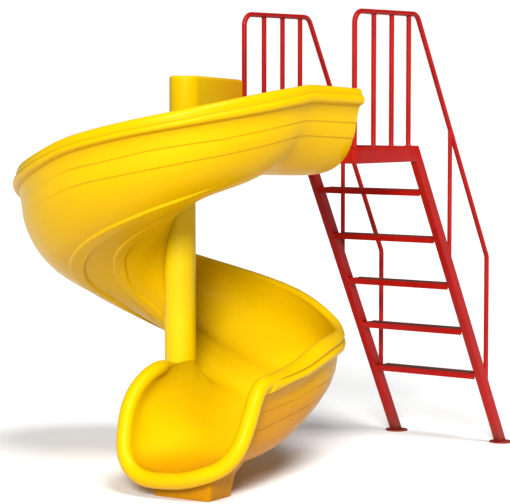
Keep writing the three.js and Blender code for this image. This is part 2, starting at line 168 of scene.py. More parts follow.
class Finish(Graph):
    def __init__(self, name, fixed):
        self.material = bpy.data.materials.new(name)
        super().__init__(self.material, "Principled BSDF", fixed)

    def place(self):
        return self.node("ShaderNodeTexCoord", {}, {}, "Object")

    def noise(self, scale, detail=3.0, rough=0.55, stretch=(1.0, 1.0, 1.0)):
        vector = self.place()
        if stretch != (1.0, 1.0, 1.0):
            vector = self.node("ShaderNodeVectorMath", {"operation": "MULTIPLY"}, {0: vector, 1: stretch})
        return self.node("ShaderNodeTexNoise", {}, {
            "Vector": vector, "Scale": scale, "Detail": detail, "Roughness": rough}, "Fac")

    def attribute(self, name):
        return self.node("ShaderNodeAttribute", {"attribute_name": name}, {}, "Fac")

    def height_of(self, vector):
        return self.node("ShaderNodeSeparateXYZ", {}, {0: vector}, "Z")

    def upward(self):
        return self.height_of(self.node("ShaderNodeNewGeometry", {}, {}, "Normal"))

    def splash(self):
        """Dirt that rain throws up from the ground, for the lowest few centimetres."""
        near_ground = 1.0 - self.height_of(self.place()).between(0.0, SPLASH_HEIGHT)
        return near_ground * (0.45 + 0.55 * self.noise(24.0, 4.0).between(0.35, 0.65))

    def mixed(self, factor, low, high):
        """Mix of two colours, each three numbers or a wire."""
        low, high = ((*side, 1.0) if isinstance(side, tuple) else side for side in (low, high))
        return self.node("ShaderNodeMix", {"data_type": "RGBA"}, {"Factor": factor, 6: low, 7: high}, 2)

    def layered(self, base, *layers):
        """A colour with others laid over it, each through its own mask."""
        for mask, stain in layers:
            base = self.mixed(mask, base, stain)
        return base

    def bump(self, height, strength, distance, under=None):
        sockets = {"Height": height, "Strength": strength, "Distance": distance}
        if under:
            sockets["Normal"] = under
        return self.node("ShaderNodeBump", {}, sockets, "Normal")


# %% [markdown]
# Yellow gelcoat
#
# The trough is moulded glass fibre. Its outside is gelcoat, a pigmented resin that copies the
# polish of the mould. Close up it has a faint orange-peel and slow waves from the fibre mat
# underneath. Undersides are given a deeper, more orange yellow: that is painted shade.
# Three attributes painted on the mesh help: one darkens grooves, laps and corners, which is
# painted shade, one marks where people slide and polish the bed, and one darkens the outside
# low down, the block and the entry wall, which is painted shade, and the exit's bed, which is
# painted shade with some dust.

# %% Gelcoat finish
DEEP_YELLOW, PALE_YELLOW = (0.56, 0.345, 0.0004), (0.60, 0.378, 0.0004)
MAT_YELLOW, SHADED_YELLOW = (0.56, 0.325, 0.0004), (0.57, 0.30, 0.0008)
POLISHED_YELLOW = (0.61, 0.39, 0.0016)
CREASE_SHADE_BROWN, SHADE_AND_DUST_ORANGE = (0.29, 0.12, 0.003), (0.38, 0.085, 0.0004)
SPECK_BROWN, SPLASH_BROWN = (0.40, 0.18, 0.008), (0.30, 0.11, 0.004)
GELCOAT_TINT = (1.0, 0.88, 0.45, 1.0)


def make_gelcoat():
    finish = Finish("yellow_gelcoat_moulded", {
        "IOR": 1.5, "Coat Roughness": 0.12, "Coat IOR": 1.5, "Specular IOR Level": 0.09,
        "Specular Tint": GELCOAT_TINT})
    cloudy = finish.noise(2.2, 4.0).between(0.35, 0.68)
    mat_print = finish.noise(34.0, 3.0).between(0.3, 0.75)
    speck = finish.noise(420.0, 2.0).between(0.66, 0.78)
    crease, rub, soil = (finish.attribute(name) for name in ("crease", "rub", "soil"))
    # Undersides turn a deeper, more orange yellow: painted shade.
    shade = (finish.upward() * -1.0).between(-0.25, 0.95)
    finish.set("Base Color", finish.layered(
        finish.mixed(cloudy, DEEP_YELLOW, PALE_YELLOW),
        (mat_print * 0.25, MAT_YELLOW),
        (shade * 0.6, SHADED_YELLOW),
        (rub * 0.3, POLISHED_YELLOW),
        # Grooves, laps and corners darken: painted shade.
        ((crease * (0.55 + 0.25 * cloudy)).clamp(), CREASE_SHADE_BROWN),
        # Marked parts turn a darker orange: painted shade, with some dust on the bed of the exit.
        ((soil * (0.50 + 0.12 * cloudy)).clamp(), SHADE_AND_DUST_ORANGE),
        (speck * 0.2, SPECK_BROWN),
        (finish.splash() * 0.35, SPLASH_BROWN)))
    finish.set("Roughness", (0.26 + 0.10 * cloudy + 0.10 * mat_print + 0.22 * crease - 0.06 * rub).clamp())
    finish.set("Coat Weight", (0.03 - 0.03 * crease - 0.015 * mat_print).clamp())
    waves = finish.bump(finish.noise(9.0, 2.0), 0.35, 0.004)
    finish.set("Normal", finish.bump(finish.noise(210.0, 2.0), 0.06, 0.0004, waves))
    return finish.material


gelcoat = make_gelcoat()
print("gelcoat nodes:", len(gelcoat.node_tree.nodes))

# %% [markdown]
# Paint on steel
#
# The column has yellow paint and the steelwork red enamel. Both are sprayed, so they share a
# recipe: a colour that drifts a little, a fine spray texture, and wear on the edges, where
# shoes and hands reach. The edge attribute is painted on the mesh with the corners it makes.

# %% Sprayed paints
CHIP_BROWN, STEEL_SPLASH = (0.08, 0.036, 0.024), (0.085, 0.045, 0.028)
ENAMEL_REDS = (0.26, 0.0035, 0.002), (0.315, 0.005, 0.003), (0.36, 0.022, 0.016)
COLUMN_YELLOWS = (0.60, 0.405, 0.0004), (0.63, 0.43, 0.0004), (0.64, 0.44, 0.006)


def make_paint(name, tones, gloss):
    """Sprayed paint from its deep, light and worn tones."""
    finish = Finish(name, {"IOR": 1.5, "Coat Roughness": 0.1, "Specular IOR Level": 0.12})
    deep, light, worn = tones
    drift = finish.noise(3.1, 4.0).between(0.35, 0.7)
    fine = finish.noise(48.0, 4.0).between(0.35, 0.7)
    edge = finish.attribute("edge")
    rubbed = (edge * finish.noise(60.0, 5.0, 0.7)).between(0.42, 0.66)
    chips = (edge * finish.noise(150.0, 3.0, 0.6)).between(0.60, 0.66)
    finish.set("Base Color", finish.layered(
        finish.mixed(drift, deep, light),
        (rubbed * 0.5, worn),
        (chips * 0.8, CHIP_BROWN),
        (finish.splash() * 0.55, STEEL_SPLASH)))
    finish.set("Roughness", (gloss + 0.10 * drift + 0.12 * fine + 0.25 * rubbed + 0.3 * chips).clamp())
    finish.set("Coat Weight", (0.05 - 0.04 * rubbed - 0.05 * chips).clamp())
    drips = finish.bump(finish.noise(14.0, 2.0, stretch=(1.0, 1.0, 0.35)), 0.25, 0.0022)
    spray = finish.bump(finish.noise(520.0, 2.0), 0.12, 0.0004, drips)
    finish.set("Normal", finish.bump(1.0 - chips, 0.4, 0.0005, spray))
    return finish.material


red_enamel = make_paint("red_enamel_sprayed", ENAMEL_REDS, 0.28)
column_paint = make_paint("yellow_paint_sprayed", COLUMN_YELLOWS, 0.30)
print("paints:", red_enamel.name, column_paint.name)

# %% [markdown]
# Grip strips and fixings
#
# A wet tread needs grip. Each one carries a dark strip of grit in resin. Grit is easy to show
# with a cell pattern as bump: the cells are the grains. The fixings are coated with zinc, and
# zinc from a hot bath shows a pale crystal pattern called spangle.

# %% Grit and zinc
GRAIN_TOP, GRAIN_GAP, GRIT_WORN = (0.110, 0.036, 0.020), (0.044, 0.016, 0.010), (0.20, 0.055, 0.030)
ZINC_DARK, ZINC_PALE = (0.42, 0.43, 0.44), (0.66, 0.67, 0.68)


def cells(finish, scale, output):
    return finish.node("ShaderNodeTexVoronoi", {}, {"Vector": finish.place(), "Scale": scale}, output)


def make_grit():
    finish = Finish("dark_grit_strip", {"IOR": 1.45})
    grains = cells(finish, 620.0, "Distance")
    worn = finish.noise(9.0, 5.0).between(0.42, 0.7)
    finish.set("Base Color", finish.layered(
        finish.mixed(grains.between(0.1, 0.6), GRAIN_TOP, GRAIN_GAP), (worn * 0.45, GRIT_WORN)))
    finish.set("Roughness", (0.88 - 0.2 * worn).clamp())
    finish.set("Normal", finish.bump(1.0 - grains, 0.7, 0.0012))
    return finish.material


def make_zinc():
    finish = Finish("zinc_plated_fixing", {"IOR": 1.6})
    spangle = finish.node("ShaderNodeSeparateColor", {}, {0: cells(finish, 260.0, "Color")}, 0)
    dull = finish.noise(30.0, 4.0).between(0.4, 0.7)
    finish.set("Base Color", finish.mixed(spangle, ZINC_DARK, ZINC_PALE))
    finish.set("Metallic", 1.0 - 0.35 * dull)
    finish.set("Roughness", 0.3 + 0.15 * spangle + 0.2 * dull)
    finish.set("Normal", finish.bump(finish.noise(300.0), 0.15, 0.0004))
    return finish.material


grit, zinc = make_grit(), make_zinc()
print("small finishes:", grit.name, zinc.name)

# %% [markdown]
# From rings of points to a mesh
#
# Nearly every piece here is a row of rings: closed outlines with the same number of points.
# Joining each ring to the next makes a wall of quads, and a cap closes each end. The signed
# volume of such a body is negative when its faces look inwards, and then they are turned round.

# %% Faces between rings
MM = 0.001


def ring_faces(ring_count, size):
    """Quads between each ring and the next."""
    faces = []
    for start in range(0, (ring_count - 1) * size, size):
        for i in range(size):
            a, b = start + i, start + (i + 1) % size
            faces.append((a, b, b + size, a + size))
    return faces


def signed_volume(points, faces):
    corners = [(face[0], face[k], face[k + 1]) for face in faces for k in range(1, len(face) - 1)]
    a, b, c = points[np.array(corners)].transpose(1, 0, 2)
    return float(np.sum(a * np.cross(b, c))) / 6


print("quads between two rings of eight points:", len(ring_faces(2, 8)))

# %% [markdown]
# A shape that becomes a piece
#
# A shape collects the points of several bodies, so that a floor with all its lozenges is one
# piece. Values for the attributes come along point by point. At the end it becomes a Blender
# object, rides on the one body of this slide, and hides the solids that it stands for.

# %% Shapes and pieces
STEEL_SLOT, PAINT_SLOT, GELCOAT_SLOT = "red_paint", "yellow_paint", "yellow_gelcoat"


class Shape:
    """Points, faces and point values that grow part by part into one mesh."""

    def __init__(self):
        self.points, self.faces, self.values = [], [], {}

    def add(self, points, faces, **values):
        points = np.asarray(points, float).reshape(-1, 3)
        if signed_volume(points - points.mean(0), faces) < 0:
            faces = [tuple(reversed(face)) for face in faces]
        start = len(self.points)
        self.points.extend(points)
        self.faces.extend(tuple(i + start for i in face) for face in faces)
        for name in sorted(set(self.values) | set(values)):
            column = self.values.setdefault(name, [0.0] * start)
            value = np.ravel(values.get(name, 0.0))
            column.extend(value if len(value) == len(points) else np.full(len(points), value[0]))

    def loft(self, rings, end_cap=True, **values):
        rings = np.asarray(rings, float)
        count, size = rings.shape[:2]
        points = rings.reshape(-1, 3)
        faces = ring_faces(count, size) + [tuple(reversed(range(size)))]
        if end_cap:
            faces.append(tuple((count - 1) * size + i for i in range(size)))
        self.add(points, faces, **values)

    def piece(self, name, material, slot, replaced=(), sharp=35.0):
        mesh = bpy.data.meshes.new(name)
        mesh.from_pydata([tuple(p) for p in self.points], [], self.faces)
        mesh.validate()
        for key, column in self.values.items():
            layer = mesh.attributes.new(key, "FLOAT", "POINT")
            layer.data.foreach_set("value", np.asarray(column, np.float32))
        mesh.materials.append(material)
        mesh.shade_smooth()
        mesh.set_sharp_from_angle(angle=math.radians(sharp))
        made = bpy.data.objects.new(name, mesh)
        bpy.context.scene.collection.objects.link(made)
        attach(made, "root")
        if replaced:
            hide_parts(*replaced)
        print("%-28s %6d faces" % (name, len(mesh.polygons)))


# %% [markdown]
# The measures of the trough
#
# The trough is one section that changes slowly as it turns. Its place along the slide is an angle:
# below zero on the entry, 0 to 355 degrees on the spiral, and one more degree for each 14 mm of
# the exit. Each table gives a measure in millimetres at some of these places, and a smooth curve
# fills in between them. Depths are counted down from the rim.

# %% Sizes of the trough
COLUMN_RADIUS, COLUMN_TOP, SEAT = 77.0, 1499.7, 0.3
RIM_RADIUS, SHELL, INNER_FLANGE = 811.0, 8.0, 60.0
TROUGH_INNER = COLUMN_RADIUS + SEAT
ENTRY_LENGTH, HELIX_ANGLE, RUN_PER_DEGREE = 377.4, 355.0, 14.0
BED_ENTRY, BED_FALL, EXIT_BED = 1455.0, 3.69, 100.0
print("fall of the bed: %.2f m in %d degrees" % (HELIX_ANGLE * BED_FALL * MM, HELIX_ANGLE))

# %% Heights and depths along the slide
WALL_TOP = [(296, 505), (318, 528), (335, 548), (355, 557), (362, 563), (369, 570), (376, 574)]
BED_SWELL = [(0, 0), (12, -7), (26, 4), (42, 18), (60, 14), (95, 0), (140, -9), (195, -9), (240, 0),
             (360, 0)]
RIM_HEIGHT = [(0, 1897), (16, 1869), (45, 1796), (90, 1663), (112, 1569), (142, 1465), (190, 1252),
              (237, 1016), (279, 860), (307, 745), (322, 709), (334, 702), (345, 690), (352, 671),
              (357, 647), (364, 613), (372, 587), (380, 571), (390, 556)]
GROOVE_DEPTH = [(-27, 30), (-4, 33), (12, 42), (26, 45), (45, 44), (90, 42), (130, 44), (200, 34),
                (300, 38), (340, 52), (353, 57), (367, 36), (384, 26)]
BEAD_BOTTOM = [(-27, 78), (0, 84), (22, 89), (33, 86), (50, 79), (71, 74), (93, 76), (110, 82), (128, 93),
               (200, 90), (300, 92), (340, 96), (352, 92), (360, 82), (371, 68), (382, 78)]
UPPER_LAP = [(-27, 162), (0, 166), (21, 172), (33, 172), (45, 163), (63, 154), (77, 157), (91, 150),
             (150, 155), (250, 170), (322, 196), (345, 206), (360, 186), (376, 167), (388, 164)]
LOWER_LAP = [(-27, 236), (0, 236), (21, 246), (32, 247), (47, 242), (69, 238), (85, 231), (150, 225),
             (250, 245), (322, 274), (345, 282), (360, 259), (372, 241), (386, 244)]
OUTER_RIB = [(60, 585), (86, 568), (104, 545), (120, 519), (136, 497), (156, 472), (182, 430)]
FOLD_RADIUS = [(238, 600), (249, 542), (259, 516), (268, 513), (279, 532), (300, 565)]
INNER_RIB = [(60, 415), (85, 385), (104, 350), (120, 308), (136, 278), (156, 236), (169, 200), (185, 165)]
print("fall of the rim: %.2f m" % ((RIM_HEIGHT[0][1] - RIM_HEIGHT[-1][1]) * MM))

# %% [markdown]
# The rows of the section
#
# Each row is a corner point of the section, as a distance from the axis or from the rim and a
# share of the depth. The pairs side by side are the same point at different places along the
# slide, and the section passes from one pair to the next.

# %% Rows of the section
# Pairs: wall beside the column on the spiral, where it leaves the column, at the exit's end.
WALL_ROWS = np.array([
    [TROUGH_INNER, 0, TROUGH_INNER, 0, 116, 0.03],
    [88, 0.30, 90, 0.32, 119, 0.25],
    [106, 0.55, 112, 0.56, 128, 0.42],
    [134, 0.76, 150, 0.77, 146, 0.66],
    [172, 0.92, 205, 0.90, 174, 0.85],
    [220, 0.99, 262, 0.975, 262, 0.964]])
# Pairs: bed and outer wall at the first bend, at the platform, on the spiral, at the exit's end.
SECTION_ROWS = np.array([
    [300, 0.986, 300, 0.992, 300, 0.975, 361, 1.000],
    [420, 0.966, 430, 0.996, 420, 0.942, 464, 0.988],
    [520, 0.923, 530, 0.988, 530, 0.895, 560, 0.915],
    [600, 0.853, 620, 0.946, 615, 0.830, 652, 0.820],
    [672, 0.732, 698, 0.845, 682, 0.720, 706, 0.675],
    [724, 0.573, 752, 0.680, 732, 0.575, 728, 0.477],
    [756, 0.405, 783, 0.470, 762, 0.415, 738, 0.330],
    [770, 0.250, 796, 0.290, 774, 0.250, 746, 0.240]])
# Bead under the rim: inset from the rim's reach, share of the bead's depth.
BEAD_ROWS = np.array([[14, 0.96], [5, 0.82], [1, 0.62], [0, 0.42], [3, 0.20], [9.5, 0.05]])
# Pairs: lip on the upper half, on the lower half, and wide, near the exit.
LIP_ROWS = np.array([
    [15, 0.66, 6, 0.70, 7, 0.72], [19, 0.27, 6, 0.36, 15, 0.44], [30, 0, 16, 0, 42, 0.10],
    [42, 0.04, 34, 0, 68, 0], [48, 0.25, 46, 0.25, 88, 0.22], [50, 0.9, 48, 0.9, 100, 0.8]])
# Bowl inside the exit: distance from the column, share of the drop from the wall's top.
BOWL_ROWS = np.array([
    [1, 0], [40, 0.18], [84, 0.38], [133, 0.57], [188, 0.73], [250, 0.86], [315, 0.94], [385, 0.985]])
print("rows beside the column and beyond it:", len(WALL_ROWS), len(SECTION_ROWS))

# %% [markdown]
# Curves between the values of a table
#
# A table gives a value at a few places only. Straight lines between them would show as kinks in
# the mould. The curve here passes through every value and never swings past one of them.

# %% Smooth values
def smoothstep(x, a, b):
    t = np.clip((x - a) / (b - a), 0.0, 1.0)
    return t * t * (3 - 2 * t)


def mix(a, b, share):
    return a + (b - a) * share


def table_value(table, x):
    """Smooth curve through pairs of place and value, without overshoot."""
    xs, ys = zip(*table)
    if x <= xs[0]:
        return ys[0]
    if x >= xs[-1]:
        return ys[-1]
    slopes = np.diff(ys) / np.diff(xs)
    inner = [0.0 if a * b <= 0 else 2 * a * b / (a + b) for a, b in zip(slopes[:-1], slopes[1:])]
    tangents = [slopes[0], *inner, slopes[-1]]
    i = int(np.searchsorted(xs, x)) - 1
    h = xs[i + 1] - xs[i]
    t = (x - xs[i]) / h
    return (ys[i] * (2 * t**3 - 3 * t**2 + 1) + tangents[i] * h * (t**3 - 2 * t**2 + t)
            + ys[i + 1] * (3 * t**2 - 2 * t**3) + tangents[i + 1] * h * (t**3 - t**2))


print("rim at 100 degrees: %.0f mm" % table_value(RIM_HEIGHT, 100))

# %% [markdown]
# One section at a time
#
# A station is a turn around the column, a distance along the entry, or a run past the spiral.
# The section function gives two outlines there: the underside and outer wall from the column
# to the foot of the bead, and the bead, groove and lip on top of it.

# %% Measures at one station
# Where a share grows from 0 to 1, in degrees along the slide or millimetres of run.
SPIRAL_SHAPE, LEAVING, LOWER_HALF, BOWL_RISES = (-10, 40), (285, 350), (200, 300), (235, 318)
EXIT_SHAPE, NARROWING, BEAD_ENDS = (-220, 340), (90, 430), (366, 398)
LIP_WIDENS, LIP_SETTLES = (313, 346), (200, 400)
LAPS_FADE, LAPS_RETURN, RIBS_START, RIBS_END = (82, 112), (250, 320), (28, 52), (215, 300)
ENTRY_FALL, ENTRY_LEVEL, EXIT_LEVELLING = 16.0, 60.0, 330.0
HELIX_RUN_PER_DEGREE, EXIT_NARROWER = 14.2, 27.0


def station(turn, run=0.0, entry=0.0):
    """Measures of the section at one place along the slide."""
    along = turn + (run - entry) / RUN_PER_DEGREE
    entry_fall = ENTRY_FALL * max(0.0, entry - ENTRY_LEVEL) / (ENTRY_LENGTH - ENTRY_LEVEL)
    helix_bed = BED_ENTRY - BED_FALL * turn + table_value(BED_SWELL, turn)
    levelling = min(1.0, run / EXIT_LEVELLING)
    bed = EXIT_BED + (helix_bed - EXIT_BED) * (1 - levelling) ** 2
    return {
        "along": along,
        "bed": bed,
        "rim": table_value(RIM_HEIGHT, turn + run / RUN_PER_DEGREE) - entry_fall,
        "wall_top": max(min(bed + INNER_FLANGE, COLUMN_TOP - 10), table_value(WALL_TOP, along)),
        "entry_end": smoothstep(entry, 0, ENTRY_LENGTH),
        "helix": smoothstep(turn, *SPIRAL_SHAPE),
        "leaving": smoothstep(turn, *LEAVING),
        "lower": smoothstep(turn, *LOWER_HALF),
        "exit_end": smoothstep(run + HELIX_RUN_PER_DEGREE * (turn - HELIX_ANGLE), *EXIT_SHAPE),
        "narrowing": EXIT_NARROWER * smoothstep(run, *NARROWING),
        "bead": 1 - smoothstep(run, *BEAD_ENDS),
        "wide_lip": smoothstep(along, *LIP_WIDENS) * (1 - 0.6 * smoothstep(run, *LIP_SETTLES)),
        "bowl": smoothstep(along, *BOWL_RISES),
        "groove": table_value(GROOVE_DEPTH, along),
        "bead_bottom": table_value(BEAD_BOTTOM, along),
        "laps": [table_value(LOWER_LAP, along), table_value(UPPER_LAP, along)],
        "lap_strength": 1 - 0.85 * smoothstep(along, *LAPS_FADE) * (1 - smoothstep(along, *LAPS_RETURN)),
        "ribs": [table_value(INNER_RIB, along), table_value(OUTER_RIB, along)],
        "rib_strength": smoothstep(along, *RIBS_START) * (1 - smoothstep(along, *RIBS_END))}


for turn in (0.0, HELIX_ANGLE):
    print("rim at %3d degrees: %.0f mm" % (turn, station(turn)["rim"]))

# %% Section of the trough
ENTRY_WIDER, BEAD_FOOT, BEAD_FOOT_BELOW = 22.0, 27.0, 4.0
BEAD_FLAT, BEAD_TOP = 30.0, (13.0, 1.0)


def blended(table, column, *shares):
    """A column of a table that passes on to the same column of the next pairs."""
    value = table[:, column]
    for step, share in enumerate(shares):
        value = mix(value, table[:, column + 2 * step + 2], share)
    return value


def section(s):
    """Outline of the outside up to the bead, and outline of the bead, the groove and the lip."""
    rim, bed, groove = s["rim"], s["bed"], s["groove"]
    reach = RIM_RADIUS - s["narrowing"] + ENTRY_WIDER * s["entry_end"]
    wall_r, wall_share = (blended(WALL_ROWS, i, s["leaving"], s["exit_end"]) for i in (0, 1))
    passing = s["entry_end"], s["helix"], s["exit_end"]
    rest_r, rest_share = (blended(SECTION_ROWS, i, *passing) for i in (0, 1))
    lip_inset, lip_share = (blended(LIP_ROWS, i, s["lower"], s["wide_lip"]) for i in (0, 1))
    outer_r = [*wall_r, *rest_r, reach - BEAD_FOOT]
    outer_z = [*(s["wall_top"] - (s["wall_top"] - bed) * wall_share), *(rim - (rim - bed) * rest_share),
               rim - s["bead_bottom"] - BEAD_FOOT_BELOW]
    bead_inset = mix(BEAD_FLAT, np.append(BEAD_ROWS[:, 0], BEAD_TOP[0]), s["bead"])
    bead_drop = np.append(groove + (s["bead_bottom"] - groove) * BEAD_ROWS[:, 1], groove - BEAD_TOP[1])
    top_r = reach - np.array([*bead_inset, *lip_inset])
    top_z = rim - np.array([*bead_drop, *(groove * lip_share)])
    return np.array([outer_r, outer_z]).T, np.array([top_r, top_z]).T


outer_sample, top_sample = section(station(100))
print("section rows:", len(outer_sample), "bead, groove and lip rows:", len(top_sample))

# %% [markdown]
# Smooth curves through the rows
#
# The rows are only corner points. A cubic spline passes through all of them without kinks, and
# it has a handy property: each point on it is a weighted sum of the rows. So the weights are
# worked out once, and every station of the trough uses the same ones.

# %% Spline weights
def spline_weights(knots, places):
    count, h = len(knots), np.diff(knots)
    bends, pulls = np.eye(count), np.zeros((count, count))
    for i in range(1, count - 1):
        bends[i, i - 1:i + 2] = h[i - 1], 2 * (h[i - 1] + h[i]), h[i]
        pulls[i, i - 1:i + 2] = 6 / h[i - 1], -6 / h[i - 1] - 6 / h[i], 6 / h[i]
    second = np.linalg.solve(bends, pulls)
    weights = np.zeros((len(places), count))
    for row, x in enumerate(places):
        i = min(max(int(np.searchsorted(knots, x, side="right")) - 1, 0), count - 2)
        a = (knots[i + 1] - x) / h[i]
        b = 1 - a
        weights[row, i] += a
        weights[row, i + 1] += b
        weights[row] += ((a**3 - a) * second[i] + (b**3 - b) * second[i + 1]) * h[i] ** 2 / 6
    return weights


def chord_knots(points):
    """Distance along a row of points, from the first one."""
    steps = np.linalg.norm(np.diff(points, axis=0), axis=1)
    return np.concatenate([[0.0], np.cumsum(steps)])


print("weights at the second of four rows:", spline_weights(np.arange(4.0), [1.0])[0])

# %% [markdown]
# Laps and ribs
#
# The mould gives the outside two laps, like the planks of a boat: below each one the wall steps
# in by a few millimetres and swells out again. The underside has two broad raised ribs that
# stiffen the bed and draw closer to the column on the way down. A fine edge needs points close
# to it, so each section looks up where its edges are and gathers its points around them.

# %% Sample places across the section
GROOVE_KNOT, WALL_KNOT, CROWN_POINTS = 7, 8, 50
RIB_HALF = (31.0, 36.0)
AROUND_RIB = np.array([-9.0, -6.0, -3.0, 0.0, 3.0, 6.0, 9.0])
AROUND_LAP = np.array([-12.0, -6.0, -3.0, -1.5, 0.0, 1.5, 4.0, 9.0])
AROUND_GROOVE, GROOVE_CLEAR = np.array([-4.5, -2.0, -0.7, 0.7, 2.0, 4.5]), 5.5
BETWEEN = (12, 5, 8, 5, 14, 8, 8)

outer_knots = chord_knots(outer_sample)
dense = np.linspace(0, outer_knots[-1], 1000)
dense_weights = spline_weights(outer_knots, dense)
top_knots = chord_knots(np.vstack([outer_sample[-1:], top_sample]))
groove_place = top_knots[GROOVE_KNOT]
top_places = np.linspace(0, top_knots[-1], CROWN_POINTS)[1:]
top_places = top_places[np.abs(top_places - groove_place) > GROOVE_CLEAR]
top_places = np.sort(np.append(top_places, groove_place + AROUND_GROOVE))
top_weights = spline_weights(top_knots, top_places)


def normals_of(path):
    along = np.gradient(path, axis=0)
    along /= np.linalg.norm(along, axis=1)[:, None]
    return np.stack([-along[:, 1], along[:, 0]], 1)


def places_across(skin, s):
    """Places of the points of one section, gathered around its ribs and laps."""
    ribs = [np.interp(radius + side * half, skin[:, 0], dense)
            for radius, half in zip(s["ribs"], RIB_HALF) for side in (-1, 1)]
    wall = dense > outer_knots[WALL_KNOT]
    laps = [np.interp(s["rim"] - drop, skin[wall, 1], dense[wall]) for drop in s["laps"]]
    places, start = [], 0.0
    for count, edge, around in zip(BETWEEN, ribs + laps, [AROUND_RIB] * 4 + [AROUND_LAP] * 2):
        places += [*np.linspace(start, edge + around[0], count + 1)[:-1], *(edge + around[:-1])]
        start = edge + around[-1]
    places += list(np.linspace(start, dense[-1], BETWEEN[-1] + 1))
    return np.array(places), laps


OUTSIDE_COUNT = len(places_across(dense_weights @ outer_sample, station(100))[0])
INSIDE_START = OUTSIDE_COUNT + len(top_places)
print("points on the outside:", OUTSIDE_COUNT, "on the bead and lip:", len(top_places))

# %% [markdown]
# The inside
#
# Inside, a slide has to be as smooth as it can be, so there are no ribs and no laps. Its corner
# points are those of the outside, moved in by the thickness of the shell. Beside the column at
# the exit the bed rises in a wide bowl, and there the points take the bowl's own rows.

# %% Corner points of the inside
INNER_POINTS, THIN_AT_COLUMN = 64, (1.0, 5.0)

row_places = np.searchsorted(dense, outer_knots[:-2])
inner_sample = (dense_weights @ outer_sample)[row_places]
inner_knots = chord_knots(np.vstack([inner_sample, top_sample[-1:]]))
inner_places = np.linspace(0, inner_knots[-1], INNER_POINTS)
inner_weights = spline_weights(inner_knots, inner_places)


def inner_rows(s, skin, facing, crown_end):
    """Corner points of the inside: the outside moved in, with a bowl against the column."""
    thick = np.full(len(row_places), SHELL)
    thick[:2] = [mix(thin, SHELL, s["exit_end"]) for thin in THIN_AT_COLUMN]
    rows = skin[row_places] + facing[row_places] * thick[:, None]
    radius = skin[0, 0] + BOWL_ROWS[:, 0]
    height = s["wall_top"] - (s["wall_top"] - s["bed"] - SHELL) * BOWL_ROWS[:, 1]
    height = np.maximum(height, np.interp(radius, rows[:, 0], rows[:, 1]))
    count = len(BOWL_ROWS)
    rows[:count] = mix(rows[:count], np.stack([radius, height], 1), s["bowl"])
    return np.vstack([rows, crown_end])


print("points on the inside:", INNER_POINTS)

# %% [markdown]
# Painted shade and polish
#
# Use leaves traces in places that the shape itself tells: children polish the middle of the bed
# and the top of the lip. Grooves, laps, folds and the corners by the column are darkened, which
# is painted shade. So these values are worked out here, next to the shape, and travel with the
# points to the material.

# %% Painted shade and traces of use
GROOVE_WIDTH, GROOVE_SHADE, LAP_SHADE = 3.5, 0.7, 0.55
# Strength and reach of the painted shade under the bead, beside the column, on the bead and inside.
FOOT_SHADE, OUTSIDE_SHADE, CROWN_SHADE, INSIDE_SHADE = (0.7, 7.0), (0.35, 14.0), (0.7, 6.0), (0.35, 22.0)
# Painted shade in the fold of the last flight, in degrees along the slide.
FOLD_SPAN, FOLD_STARTS, FOLD_EASES, FOLD_ENDS = (225, 335), (226, 240), (240, 262), (285, 330)
FOLD_WIDTH, FOLD_SHADE = 42.0, 0.3
BED_MIDDLE, BED_WIDTH, BED_LEVEL, LIP_TOP, LIP_POLISH = 420, 170.0, 0.5, (8, 10), 0.8


def near_line(distance, width):
    """1 on a line, and less on both sides of it."""
    return np.exp(-((distance / width) ** 2))


def fading(distance, strength, reach):
    return strength * np.exp(-distance / reach)


def fold_shade(s, inner):
    """Painted shade where the bed turns up into the outer wall of the last flight."""
    along = s["along"]
    if not FOLD_SPAN[0] < along < FOLD_SPAN[1]:
        return np.zeros(len(inner))
    easing = 1 - smoothstep(along, *FOLD_EASES)
    strength = smoothstep(along, *FOLD_STARTS) * (FOLD_SHADE + FOLD_SHADE * easing)
    strength *= 1 - smoothstep(along, *FOLD_ENDS)
    return strength * near_line(inner[:, 0] - table_value(FOLD_RADIUS, along), FOLD_WIDTH)


def traces(s, places, lap_shade, inner):
    """Painted shade and polish around the whole outline: outside, crown, then the inside backwards."""
    outside = LAP_SHADE * lap_shade * s["lap_strength"] + fading(places[-1] - places, *FOOT_SHADE)
    outside = outside + fading(places, *OUTSIDE_SHADE)
    groove = near_line(top_places - groove_place, GROOVE_WIDTH) * s["bead"]
    crown = GROOVE_SHADE * groove + fading(top_places, *CROWN_SHADE)
    inside = fading(inner_places, *INSIDE_SHADE) + fold_shade(s, inner)
    crease = np.concatenate([np.clip(outside, 0, 1), np.clip(crown, 0, 1), inside[-2::-1]])
    bed = near_line(inner[:, 0] - BED_MIDDLE, BED_WIDTH) * (normals_of(inner)[:, 1] > BED_LEVEL)
    lip = smoothstep(top_places, *(top_knots[k] for k in LIP_TOP)) * LIP_POLISH
    return crease, np.concatenate([np.zeros(len(places)), lip, bed[-2::-1]])


# The value in the fold is painted shade.
print("strongest dust in the fold: %.1f" % (2 * FOLD_SHADE))

# %% [markdown]
# One closed outline
#
# Now everything comes together. The outside gets its laps and ribs by moving points along their
# normals, because that keeps the steps equally high on the steep wall and on the flat belly.

# %% Closed outline of one station
LAP_STEP, LAP_FADE, LAP_EDGE = 2.8, 45.0, 3.0
RIB_HEIGHT, RIB_SHOULDER, RIB_FACING = 12.0, 9.0, (0.45, 0.7)
LAP_SHADE_STARTS, LAP_SHADE_ENDS = (-2, 2), (3, 10)


